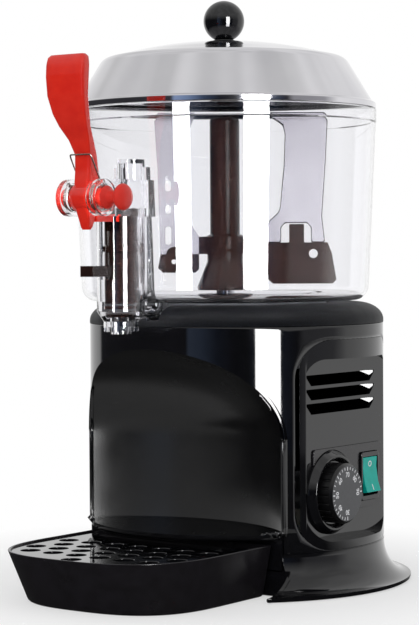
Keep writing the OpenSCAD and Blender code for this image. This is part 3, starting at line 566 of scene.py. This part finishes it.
def shapeVents(bm):
    # the slots' lower corners slant, and a lit cheek stands behind each slot's rear end
    for vert in bm.verts:
        row = min(vents["rows"], key=lambda r: abs(r - vert.co.z))
        for end, way in ((vents["left"], 1), (vents["right"], -1)):
            along = (vert.co.y - end) * way
            if abs(vert.co.z - row + 1) < 0.4 and abs(along) < 0.3:
                vert.co.z = row + 2.2
            elif 2.5 < row - vert.co.z < 5.5 and abs(along - 4) < 0.3:
                vert.co.y = end + way * vents["slant"]


def addCheeks(bm):
    for row in vents["rows"]:
        rear, fore = vents["right"] + 0.3, vents["right"] - vents["reach"]
        corners = [(vents["deep"], fore, row + vents["high"]), (vents["face"], rear, row + vents["high"]),
                   (vents["face"], rear, row + vents["low"]), (vents["deep"], rear, row + vents["high"]),
                   (vents["deep"], rear, row + vents["low"])]
        bmesh.ops.convex_hull(bm, input=[bm.verts.new(corner) for corner in corners])


softenedCopy("controlPanel", "control_panel", "casing", "gloss_black_abs", 0.6, 3,
             shape=shapeVents, extra=addCheeks)
softenedCopy("controlPlate", "control_plate", "casing", "satin_black_abs", 0.5, 2)
softenedCopy("switchBezel", "switch_bezel", "casing", "gloss_black_abs", 0.6, 3)
softenedCopy("switchRocker", "switch_rocker", "rocker", "green_rocker", 0.5, 3)
softenedCopy("dialRing", "dial_ring", "casing", "gloss_black_abs", 0.35, 2)


# phenolic moulding: black sides, and a front face painted grey, a painted sheen standing in for the backdrop that
# its fine turned grain mirrors
def dialPaintedSheenFinish():
    material, tree, shader, place = startFinish("phenolicBlack", {"IOR": 1.5})
    side = addNode(tree, "SeparateXYZ", links={"Vector": place}).outputs["X"]
    # the front face is picked out here and given the painted sheen's grey tones
    front = addNode(tree, "MapRange", {"From Min": 0.12085, "From Max": 0.12095}, {"Value": side})
    fine = addNode(tree, "TexNoise", {"Scale": patternScale(2.0), "Detail": 3.0}, {"Vector": place})
    face = addNode(tree, "ValToRGB", {"stops": toneStops(("#35363a", "#3d3e42"))}, {"Fac": fine.outputs["Fac"]})
    broad = addNode(tree, "TexNoise", {"Scale": patternScale(6.0), "Detail": 3.0}, {"Vector": place})
    edge = addNode(tree, "ValToRGB", {"stops": toneStops(("#080809", "#0c0c0d"))},
                   {"Fac": broad.outputs["Fac"]})
    tones = addNode(tree, "MixRGB", links={"Fac": front.outputs["Result"], 1: edge.outputs["Color"],
                                           2: face.outputs["Color"]})
    handled = addNode(tree, "TexNoise", {"Scale": patternScale(1.0), "Detail": 2.0}, {"Vector": place})
    turnedSkin = addNode(tree, "TexNoise", {"Scale": patternScale(0.8), "Detail": 2.0}, {"Vector": place})
    finishSurface(tree, shader, tones.outputs["Color"], handled.outputs["Fac"], (0.3, 0.4),
                  turnedSkin.outputs["Fac"], 0.15, 0.02)
    return material


softenedCopy("dialKnob", "dial", "thermostat_dial", "satin_black_abs", 0.35, 2, material=dialPaintedSheenFinish())

marks = {"dialY": 18.6, "dialZ": 77.0, "face": 121.0, "ink": 0.06,
         "labels": ("90", "80", "70", "60", "50", "40", "30"),
         "step": 45.0, "between": 4, "labelRadius": 14.4, "labelSize": 5.4, "tickOut": 20.6, "tickIn": 18.4,
         "tickWide": 0.75, "rockerY": 73.3, "rockerZ": 85.3}


def printText(bm, words, size, place):
    # plain figures as thin ink, laid by a matrix whose X runs along the line and Z stands off the face
    data = bpy.data.curves.new("figures", "FONT")
    data.body = words
    data.size = size
    data.extrude = marks["ink"] / 2
    data.offset = 0.02 * size
    data.align_x = "CENTER"
    data.align_y = "CENTER"
    data.resolution_u = 4
    mesh = curveMesh(data)
    mesh.transform(place)
    bm.from_mesh(mesh)


def makeDialMarks():
    bm = bmesh.new()
    # figures face +X, with their tops outwards from the dial's centre
    base = Matrix.Translation((marks["face"] + 0.02, marks["dialY"], marks["dialZ"])) @ Matrix(
        ((0, 0, 1, 0), (1, 0, 0, 0), (0, 1, 0, 0), (0, 0, 0, 1)))
    for number, words in enumerate(marks["labels"]):
        turn = Matrix.Rotation(math.radians(marks["step"] * number - 90), 4, "Z")
        printText(bm, words, marks["labelSize"], base @ turn @ Matrix.Translation((0, marks["labelRadius"], 0)))
    count = (len(marks["labels"]) - 1) * marks["between"] + 1
    for number in range(count):
        main = number % marks["between"] == 0
        wide = marks["tickWide"] * (1.3 if main else 1)
        inner = marks["tickIn"] - (0.6 if main else 0)
        turn = Matrix.Rotation(math.radians(marks["step"] / marks["between"] * number - 90), 4, "Z")
        tick = bmesh.ops.create_cube(bm, size=1)["verts"]
        bmesh.ops.scale(bm, verts=tick, vec=(wide, marks["tickOut"] - inner, marks["ink"]))
        bmesh.ops.translate(bm, verts=tick, vec=(0, (marks["tickOut"] + inner) / 2, 0))
        bmesh.ops.transform(bm, verts=tick, matrix=base @ turn)
    return finishPiece("dialMarks", bm, "thermostat_dial", "satin_black_abs", material=whiteInk, recalc=False,
                       weighted=False)


makeDialMarks()


def makeRockerMarks():
    # O on the half that is pressed for off and I on the other, laid on the rocker's own sloped face
    bm = bmesh.new()
    rocker = bmesh.new()
    rocker.from_mesh(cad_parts["switch_rocker"].data)
    skin = BVHTree.FromBMesh(rocker)
    rocker.free()
    for words, dz in (("O", 9.2), ("I", -9.2)):
        start = Vector((0.14, marks["rockerY"] * mm, (marks["rockerZ"] + dz) * mm))
        spot, normal, index, distance = skin.ray_cast(start, Vector((-1, 0, 0)))
        out = normal.normalized()
        along = Vector((0, 1, 0))
        up = out.cross(along)
        place = Matrix.Translation(spot / mm + out * 0.03) @ Matrix((along, up, out)).transposed().to_4x4()
        printText(bm, words, 6.4, place)
    return finishPiece("rockerMarks", bm, "rocker", "green_rocker", material=whiteInk, recalc=False,
                       weighted=False)


makeRockerMarks()


# bowl
bowl = {"inner": 78.0, "low": 225.0, "footRadius": 114.8, "footRound": 11.0, "rim": 121.3, "top": 377.0,
        "wall": 3.0, "band": 10.0, "bandOut": 0.5}
print("bowl")


def makeBowl():
    bm = bmesh.new()
    outline = rounded([
        (bowl["inner"], bowl["low"], 0.5),
        (bowl["footRadius"], bowl["low"], bowl["footRound"]),
        (bowl["rim"], bowl["top"] - bowl["band"] - 1, 0.6),
        (bowl["rim"] + bowl["bandOut"], bowl["top"] - bowl["band"], 0.3),
        (bowl["rim"] + bowl["bandOut"], bowl["top"], 0.8),
        (bowl["rim"] - bowl["wall"] + bowl["bandOut"], bowl["top"], 0.8),
        (bowl["rim"] - bowl["wall"], bowl["top"] - bowl["band"] - 1, 2.0),
        (bowl["footRadius"] - bowl["wall"], bowl["low"] + bowl["wall"], bowl["footRound"] - 3),
        (bowl["inner"], bowl["low"] + bowl["wall"], 0.5),
    ], 8)
    turned(bm, outline, (0, layout["bowlY"]), 192)
    return finishPiece("clearBowl", bm, "container", "clear_polycarbonate", ("bowl",))


makeBowl()


# lid and knob
lid = {"edge": 121.6, "low": 377.4, "band": 4.0, "shoulder": 96.0, "shoulderZ": 417.0, "crown": 432.0,
       "wall": 1.4}
print("lid")


def makeLid():
    bm = bmesh.new()
    sag = lid["crown"] - lid["shoulderZ"] - 2.4
    radii = [(lid["shoulder"] - 12) * (1 - i / 16) for i in range(17)]
    crown = [(r, lid["crown"] - sag * (r / (lid["shoulder"] - 6)) ** 2) for r in radii]
    side = rounded([
        (lid["edge"] - lid["wall"], lid["low"]),
        (lid["edge"], lid["low"], 0.5),
        (lid["edge"], lid["low"] + lid["band"] + 0.4, 1.0),
        (lid["edge"] - 2.6, lid["low"] + lid["band"] + 1.6, 1.2),
        (lid["shoulder"] + 1.5, lid["shoulderZ"] + 1.2, 11.0),
        crown[0],
    ], 8)
    outside = side + crown[1:]
    turned(bm, outside, (0, layout["bowlY"]), 192, closed=False)
    faceAway(bm, (0, layout["bowlY"], lid["low"]))
    piece = finishPiece("steelLid", bm, "lid", "polished_steel", ("lid_cover",), recalc=False, weighted=False)
    addWall(piece, lid["wall"])


makeLid()

knob = {"radius": 16.4, "top": 465.0, "neck": 6.5, "bore": 2.5}


def makeKnob():
    bm = bmesh.new()
    centre = knob["top"] - knob["radius"]
    start = math.asin(knob["neck"] / knob["radius"])
    ball = [(knob["radius"] * math.sin(a), centre - knob["radius"] * math.cos(a))
            for a in [start + (math.pi - start) * i / 40 for i in range(41)]]
    # the foot that rests on the lid, as radius and height above its crown
    foot = [(0, 1.5), (knob["bore"], 1.5), (knob["bore"], 0.1), (8.6, 0.1), (9.0, 0.6), (8.8, 1.4),
            (knob["neck"] + 0.6, 1.9)]
    turned(bm, [(r, lid["crown"] + z) for r, z in foot] + ball, (0, layout["bowlY"]), 96, closed=False)
    return finishPiece("ballKnob", bm, "lid", "gloss_black_abs", ("ball_knob",), weighted=False)


makeKnob()


# tap
print("tap")
softenedCopy("tapHousing", "tap_housing", "container", "clear_polycarbonate", 0.35, 2)
# the pin is turned from red acetal, duller than the lever
redAcetal = mouldedFinish("redAcetal", ("#c92013", "#d12617"), (0.34, 0.42), (3.0, 0.15, 0.03), 1.48)
softenedCopy("hingePin", "hinge_pin", "container", "red_abs", 0.3, 2, material=redAcetal)
softenedCopy("tapPiston", "tap_piston", "piston", "brown_acetal", 0.4, 2)

# the lever as sections from its tip to its top: height, front, back and half width from the hinge
lever = {
    "sections": [(-23.6, -2.2, 1.0, 3.0), (-22.8, -2.8, 1.8, 3.8), (-16, -4.4, 4.0, 5.2), (-10, -6.7, 5.2, 6.0),
                 (0, -8.3, 8.6, 7.0), (10, -7.4, 7.8, 7.4), (20, -6.2, 6.5, 7.4), (31.6, -6.0, 4.3, 7.4),
                 (42, -10.0, -2.0, 9.7), (52, -16.8, -9.8, 13.2), (61, -21.4, -13.7, 15.6),
                 (74, -25.3, -17.2, 17.4), (88, -26.4, -16.6, 18.0), (97, -25.8, -16.0, 18.0),
                 (102, -24.6, -16.0, 17.2), (103.9, -22.6, -17.6, 15.4)],
    "corner": 0.36,      # how round a section is: 1 is an ellipse, 0 a box
    "hub": 10.5, "hubHalf": 8.9, "bore": 7.0, "tongueHalf": 6.0, "tongueEnd": 36.5,
}


def leverSection(height):
    rows = lever["sections"]
    for low, high in zip(rows, rows[1:]):
        if height <= high[0]:
            share = (height - low[0]) / (high[0] - low[0])
            return [a + (b - a) * share for a, b in zip(low, high)]
    return list(rows[-1])


def makeLever():
    bm = bmesh.new()
    low, high = lever["sections"][0][0], lever["sections"][-1][0]

    def skin(u, v):
        height, front, back, half = leverSection(low + (high - low) * v)
        turn = 2 * math.pi * u
        reach = [math.copysign(abs(t) ** lever["corner"], t) for t in (math.cos(turn), math.sin(turn))]
        return (half * reach[0], (front + back) / 2 + (back - front) / 2 * reach[1], height)

    gridSheet(bm, 48, 64, skin)
    bmesh.ops.remove_doubles(bm, verts=bm.verts, dist=0.001)
    ends = [e for e in bm.edges if len(e.link_faces) == 1]
    bmesh.ops.holes_fill(bm, edges=ends, sides=0)
    bmesh.ops.translate(bm, verts=bm.verts, vec=(0, layout["hingeY"], layout["hingeZ"]))
    hub = turned(bm, rounded([(lever["bore"], -lever["hubHalf"], 0.4), (lever["hub"], -lever["hubHalf"], 1.2),
                              (lever["hub"], lever["hubHalf"], 1.2), (lever["bore"], lever["hubHalf"], 0.4)], 4))
    layAlongX(bm, hub, layout["hingeY"], layout["hingeZ"])
    tongue = rounded([(4, -12.0), (lever["tongueEnd"], -12.2, 2.0), (lever["tongueEnd"], -17.4, 2.0),
                      (4, -17.8)], 4)
    prism(bm, [(layout["hingeY"] + a, layout["hingeZ"] + b) for a, b in tongue],
          -lever["tongueHalf"], lever["tongueHalf"], "X")
    return finishPiece("tapLever", bm, "lever", "red_abs", ("tap_lever",), weighted=False)


makeLever()

# the return spring: an end in each ear, two coils, and the bail over the lever's neck
spring = {"wire": 0.6, "coil": 9.2, "turns": 2, "coilIn": 10.4, "coilOut": 14.8,
          "bailY": -7.4, "bailZ": 31.6, "bailHalf": 9.6, "anchor": 17.4}


def springLine():
    reach = math.hypot(spring["bailY"], spring["bailZ"])
    tangent = math.degrees(math.atan2(spring["bailZ"], spring["bailY"]) - math.acos(spring["coil"] / reach))
    sweep = 360 * spring["turns"] + 90 - tangent
    steps = 24 * spring["turns"]
    half = [(spring["anchor"], 0, spring["coil"]), (16.1, 0, spring["coil"])]
    for i in range(steps + 1):
        a = math.radians(90 - sweep * i / steps)
        half.append((spring["coilOut"] - (spring["coilOut"] - spring["coilIn"]) * i / steps,
                     spring["coil"] * math.cos(a), spring["coil"] * math.sin(a)))
    half += [(spring["bailHalf"] + 0.3, spring["bailY"] + 1.2, spring["bailZ"] - 2.4),
             (spring["bailHalf"], spring["bailY"] + 0.2, spring["bailZ"] - 0.6),
             (spring["bailHalf"] - 0.8, spring["bailY"], spring["bailZ"]),
             (0, spring["bailY"], spring["bailZ"])]
    return half


def makeSpringHalf(name, side):
    # the wire's end stays in the ear while the bail goes with the lever, so the coil between them winds up
    bm = sweptWire(name, [(side * x, y, z) for x, y, z in springLine()], spring["wire"])
    bmesh.ops.translate(bm, verts=bm.verts, vec=(0, layout["hingeY"], layout["hingeZ"]))
    half = finishPiece(name, bm, None, "spring_steel", ("return_spring",), weighted=False)
    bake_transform(half)


def sweptWire(name, line, radius):
    data = bpy.data.curves.new(name, "CURVE")
    data.dimensions = "3D"
    data.bevel_depth = radius
    data.bevel_resolution = 4
    data.use_fill_caps = True
    spline = data.splines.new("POLY")
    spline.points.add(len(line) - 1)
    for point, place in zip(spline.points, line):
        point.co = (*place, 1)
    bm = bmesh.new()
    bm.from_mesh(curveMesh(data))
    return bm


makeSpringHalf("springRight", 1)
makeSpringHalf("springLeft", -1)


# stirrer
print("stirrer")
softenedCopy("stirrerColumn", "stirrer_column", "stirrer", "brown_acetal", 0.5, 3)
# painted shade: the blades' edges get a dark finish, standing in for the light caught in the thick clear blades
# that leaves their edges dark
bladeEdge = mouldedFinish("bladeEdge", ("#1a1417", "#241d21"), (0.2, 0.3), (3.0, 0.1, 0.02), 1.585)


def makeBlade(name, node):
    blade = softenedCopy(name, node, "stirrer", "clear_blade", 1.4, 3)
    blade.data.materials.append(bladeEdge)
    plane = math.radians(layout["stirAngle"])
    across = Vector((math.sin(plane), -math.cos(plane), 0))
    for face in blade.data.polygons:
        # faces not lying across the blade's plane take the painted shade
        if abs(face.normal.dot(across)) < 0.95:
            face.material_index = 1


makeBlade("bladeRight", "blade_right")
makeBlade("bladeLeft", "blade_left")
softenedCopy("scraperRight", "scraper_right", "stirrer", "brown_acetal", 0.6, 3)
softenedCopy("scraperLeft", "scraper_left", "stirrer", "brown_acetal", 0.6, 3)


# drip tray and grille
tray = {"half": 85.2, "mid": -92.2, "reach": 90.9, "rear": -33.9, "top": 40.5, "wall": 2.4,
        "footHalf": 77.0, "footMid": -84.9, "footReach": 79.5, "seat": 36.4, "rim": 1.9, "ledge": 4.4,
        "roundness": 0.7}
print("drip tray")


def trayPoint(u, half, mid, reach, rear):
    # u runs from the rear right corner round the front to the rear left one and back along the rear
    frontShare, sideShare = 0.74, 0.07
    if u < sideShare:
        return half, rear + (mid - rear) * u / sideShare
    if u < sideShare + frontShare:
        turn = math.radians(90 - 180 * (u - sideShare) / frontShare)
        return (half * math.copysign(abs(math.sin(turn)) ** tray["roundness"], math.sin(turn)),
                mid - reach * abs(math.cos(turn)) ** tray["roundness"])
    if u < 2 * sideShare + frontShare:
        return -half, mid + (rear - mid) * (u - sideShare - frontShare) / sideShare
    return -half + 2 * half * (u - 2 * sideShare - frontShare) / (1 - 2 * sideShare - frontShare), rear


def makeTray():
    bm = bmesh.new()
    # the wall's section as (inset, height), from the middle of the floor outside to the middle inside
    section = rounded([(3.0, 0.0), (0.0, 0.0, 2.5), (0.0, tray["top"], 0.8), (tray["rim"], tray["top"], 0.7),
                       (tray["rim"], tray["seat"], 0.3), (tray["ledge"], tray["seat"], 0.6),
                       (tray["ledge"] + 0.2, tray["seat"] - 2, 0.3), (tray["wall"] + 0.2, tray["wall"], 4.0),
                       (12.0, tray["wall"])], 4)
    # each row of the sheet lies on one point of the section
    def place(u, v):
        inset, height = section[round(v * (len(section) - 1))]
        share = height / tray["top"]
        half = tray["footHalf"] + (tray["half"] - tray["footHalf"]) * share - inset
        mid = tray["footMid"] + (tray["mid"] - tray["footMid"]) * share
        reach = tray["footReach"] + (tray["reach"] - tray["footReach"]) * share - inset
        x, y = trayPoint(u, half, mid, reach, tray["rear"] - inset)
        return x, y, height

    gridSheet(bm, 168, len(section) - 1, place)
    bmesh.ops.remove_doubles(bm, verts=bm.verts, dist=0.005)
    bmesh.ops.holes_fill(bm, edges=[e for e in bm.edges if len(e.link_faces) == 1], sides=0)
    return finishPiece("dripTray", bm, "tray", "satin_black_abs", ("drip_tray",))


makeTray()
softenedCopy("trayGrille", "tray_grille", "grille", "gloss_black_abs", 0.5, 3)


# pieces that keep their CAD shape
print("carried-over nodes")
slots = {
    "base_plate": "steel_sheet", "feet": "black_rubber", "foot_screws": "zinc_screws",
    "switch_body": "satin_black_abs",
    "thermostat_body": "steel_sheet", "deck_screws": "zinc_screws", "water_bath": "steel_sheet",
    "heating_element": "heater_alloy", "heated_dish": "polished_steel", "bowl_gasket": "silicone_gasket",
    "gear_motor": "motor_grey", "motor_bracket": "steel_sheet", "motor_screws": "zinc_screws",
    "drive_shaft": "polished_steel", "shaft_bush": "bronze_bush", "shaft_seal": "black_rubber",
    "safety_thermostat": "steel_sheet", "terminal_block": "cream_block", "cord_gland": "black_rubber",
    "piston_seals": "black_rubber", "knob_screw": "zinc_screws",
}
for nodeName, slotName in slots.items():
    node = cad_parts[nodeName]
    node.data.materials.clear()
    node.data.materials.append(finishes[slotName])


# stage, lamps and world
stage = {
    "floor": 2.4,
    "paperFade": (0.15, 0.38),    # metres from the machine's middle over which the paper burns out to white
    "mirrorFade": (0.08, 0.25),   # metres towards the back over which the mirrored paper brightens
    "strip": {"angle": 59.3, "wide": 19.5, "distance": 8.0, "tall": 6.0, "middle": 0.35},
    "second": {"angle": 3.7, "wide": 13.0, "distance": 8.0, "tall": 6.0, "middle": 0.35},
    "cards": [{"low": (-0.115, -0.2), "high": (0.12, 0.02), "height": 0.0495, "tone": 0.46},
              {"low": (-0.4, -1.2), "high": (0.2, -0.2), "height": 0.0495, "tone": 0.46}],
    # what a mirror sees level with the machine: degrees from the front towards the controls, then a tone
    "room": [(-180, "#ffffff"), (-99, "#ffffff"), (-95, "#3c3c40"), (-40, "#323236"), (-4, "#39393e"),
             (-2, "#93a8cc"), (8, "#7d92b6"), (20, "#3c4a62"), (32, "#161a22"), (44, "#101318"), (49, "#34435c"),
             (72, "#34435c"), (83, "#2c2c30"), (88, "#96969a"), (116, "#a4a4a8"), (130, "#ffffff"),
             (180, "#ffffff")],
}
print("stage and light")


def directRays(tree, path):
    # 1 for what the camera sees itself or only through clear plastic, 0 after any reflection
    turns = addNode(tree, "Math", {"operation": "ADD"},
                    {0: path.outputs["Glossy Depth"], 1: path.outputs["Diffuse Depth"]})
    through = addNode(tree, "Math", {"operation": "SUBTRACT", "use_clamp": True},
                      {0: path.outputs["Is Transmission Ray"], 1: turns.outputs[0]})
    return addNode(tree, "Math", {"operation": "MAXIMUM"},
                   {0: path.outputs["Is Camera Ray"], 1: through.outputs[0]}).outputs[0]


def makeFloor():
    bm = bmesh.new()
    bmesh.ops.create_grid(bm, x_segments=1, y_segments=1, size=stage["floor"] / 2)
    mesh = bpy.data.meshes.new("floor")
    bm.to_mesh(mesh)
    bm.free()
    floor = addObject("floor", mesh)
    material = bpy.data.materials.new("paperWhite")
    material.use_nodes = True
    tree = material.node_tree
    tree.nodes.clear()
    place = addNode(tree, "TexCoord").outputs["Object"]
    path = addNode(tree, "LightPath")
    direct = directRays(tree, path)
    far = addNode(tree, "VectorMath", {"operation": "LENGTH"}, {0: place}).outputs["Value"]
    paper = addNode(tree, "BsdfDiffuse", {"Color": linearColour("#f0f0f1")})
    glow = addNode(tree, "Emission", {"Color": (1, 1, 1, 1), "Strength": 1.0})
    # the paper keeps the machine's shadow close to it, and burns out to white further off
    near, away = stage["paperFade"]
    clean = addNode(tree, "MapRange", {"From Min": near, "From Max": away, "To Min": 0.5, "To Max": 1.0},
                    {"Value": far})
    seen = addNode(tree, "MixShader", links={"Fac": clean.outputs["Result"], 1: paper.outputs[0],
                                             2: glow.outputs[0]})
    # a reflection shows bright paper behind the machine and a dark studio in front of it
    depth = addNode(tree, "SeparateXYZ", links={"Vector": place}).outputs["Y"]
    near, away = stage["mirrorFade"]
    level = addNode(tree, "MapRange", {"From Min": near, "From Max": away, "To Min": 0.03, "To Max": 1.0},
                    {"Value": depth})
    mirrored = addNode(tree, "Emission", {"Color": (1, 1, 1, 1)}, {"Strength": level.outputs["Result"]})
    reflected = addNode(tree, "Math", {"operation": "MAXIMUM"},
                        {0: path.outputs["Is Glossy Ray"], 1: path.outputs["Is Transmission Ray"]})
    other = addNode(tree, "MixShader", links={"Fac": reflected.outputs[0], 1: paper.outputs[0],
                                              2: mirrored.outputs[0]})
    mixed = addNode(tree, "MixShader", links={"Fac": direct, 1: other.outputs[0], 2: seen.outputs[0]})
    addNode(tree, "OutputMaterial", links={"Surface": mixed.outputs[0]})
    floor.data.materials.append(material)


makeFloor()


def makeWorld():
    world = bpy.data.worlds.new("studio")
    bpy.context.scene.world = world
    world.use_nodes = True
    world.cycles.sampling_method = "NONE"
    tree = world.node_tree
    tree.nodes.clear()
    path = addNode(tree, "LightPath")
    way = addNode(tree, "TexCoord").outputs["Generated"]
    parts = addNode(tree, "SeparateXYZ", links={"Vector": way})
    forward = addNode(tree, "Math", {"operation": "MULTIPLY", 1: -1.0}, {0: parts.outputs["Y"]})
    angle = addNode(tree, "Math", {"operation": "ARCTAN2"}, {0: parts.outputs["X"], 1: forward.outputs[0]})
    share = addNode(tree, "MapRange", {"From Min": -math.pi, "From Max": math.pi}, {"Value": angle.outputs[0]})
    stops = [((degrees + 180) / 360, tone) for degrees, tone in stage["room"]]
    room = addNode(tree, "ValToRGB", {"stops": stops}, {"Fac": share.outputs["Result"]})
    # the white ceiling, with soft folds that the steel lid shows
    folds = addNode(tree, "TexNoise", {"Scale": 1.6, "Detail": 1.0, "Distortion": 1.2},
                    {"Vector": way}).outputs["Fac"]
    ceiling = addNode(tree, "MapRange", {"From Min": 0.35, "From Max": 0.65, "To Min": 0.7, "To Max": 0.92},
                      {"Value": folds}).outputs["Result"]
    high = addNode(tree, "MapRange", {"From Min": 0.1, "From Max": 0.5}, {"Value": parts.outputs["Z"]})
    mirrored = addNode(tree, "MixRGB", links={"Fac": high.outputs["Result"], 1: room.outputs["Color"], 2: ceiling})
    reflected = addNode(tree, "Background", {"Strength": 1.0}, {"Color": mirrored.outputs[0]})
    plain = addNode(tree, "Background", {"Color": (1, 1, 1, 1), "Strength": 1.0})
    soft = addNode(tree, "Background", {"Color": (1, 1, 1, 1), "Strength": 0.65})
    indirect = addNode(tree, "MixShader", links={"Fac": path.outputs["Is Diffuse Ray"], 1: reflected.outputs[0],
                                                2: soft.outputs[0]})
    mixed = addNode(tree, "MixShader", links={"Fac": directRays(tree, path), 1: indirect.outputs[0],
                                             2: plain.outputs[0]})
    addNode(tree, "OutputWorld", links={"Surface": mixed.outputs[0]})


makeWorld()


def addLamp(name, angle, distance, middle, size, power, glossyOnly=False, diffuseOnly=False):
    # angle is turned from the front (-Y) towards the control side (+X)
    data = bpy.data.lights.new(name, "AREA")
    data.shape = "RECTANGLE"
    data.size, data.size_y = size
    data.energy = power
    lamp = addObject(name, data)
    a = math.radians(angle)
    lamp.location = (distance * math.sin(a), -distance * math.cos(a), middle)
    lamp.rotation_euler = (math.radians(90), 0, a)
    lamp.visible_camera = False
    lamp.visible_diffuse = not glossyOnly
    lamp.visible_glossy = not diffuseOnly
    lamp.visible_transmission = False
    return lamp


def catchOnly(lamp, *names):
    caught = bpy.data.collections.new(lamp.name + "Catches")
    for name in names:
        caught.objects.link(bpy.data.objects[name])
    lamp.light_linking.receiver_collection = caught


def keepOff(lamp, *names):
    catchOnly(lamp, *names)
    for entry in lamp.light_linking.receiver_collection.collection_objects:
        entry.light_linking.link_state = "EXCLUDE"


def addStrip(name, size, radiance):
    across = 2 * size["distance"] * math.tan(math.radians(size["wide"] / 2))
    return addLamp(name, size["angle"], size["distance"], size["middle"], (across, size["tall"]),
                   radiance * math.pi * across * size["tall"], glossyOnly=True)


# a black flag keeps the strip off the small satin pieces
keepOff(addStrip("stripBox", stage["strip"], 25), "dialKnob", "switchRocker", "hingePin", "tapLever",
        "deckCollar")
secondBox = addStrip("secondBox", stage["second"], 25)
# the second box is turned so that only the bowl and the tap catch it
catchOnly(secondBox, "clearBowl", "tapHousing")
# grey cards lie over the tray and in front of it, for the niche alone to mirror
for number, card in enumerate(stage["cards"]):
    low, high = card["low"], card["high"]
    size = (high[0] - low[0], high[1] - low[1])
    lamp = addLamp(f"nicheCard{number}", 0, 0, 0, size, card["tone"] * math.pi * size[0] * size[1],
                   glossyOnly=True)
    lamp.location = ((low[0] + high[0]) / 2, (low[1] + high[1]) / 2, card["height"])
    lamp.rotation_euler = (math.pi, 0, 0)
    catchOnly(lamp, "bodyShell")
addLamp("frontFill", 20, 2.2, 1.2, (1.6, 1.6), 22, diffuseOnly=True)

bpy.context.scene.view_settings.view_transform = "Standard"

for clear in ("clearBowl", "tapHousing", "bladeRight", "bladeLeft"):
    bpy.data.objects[clear].visible_shadow = False
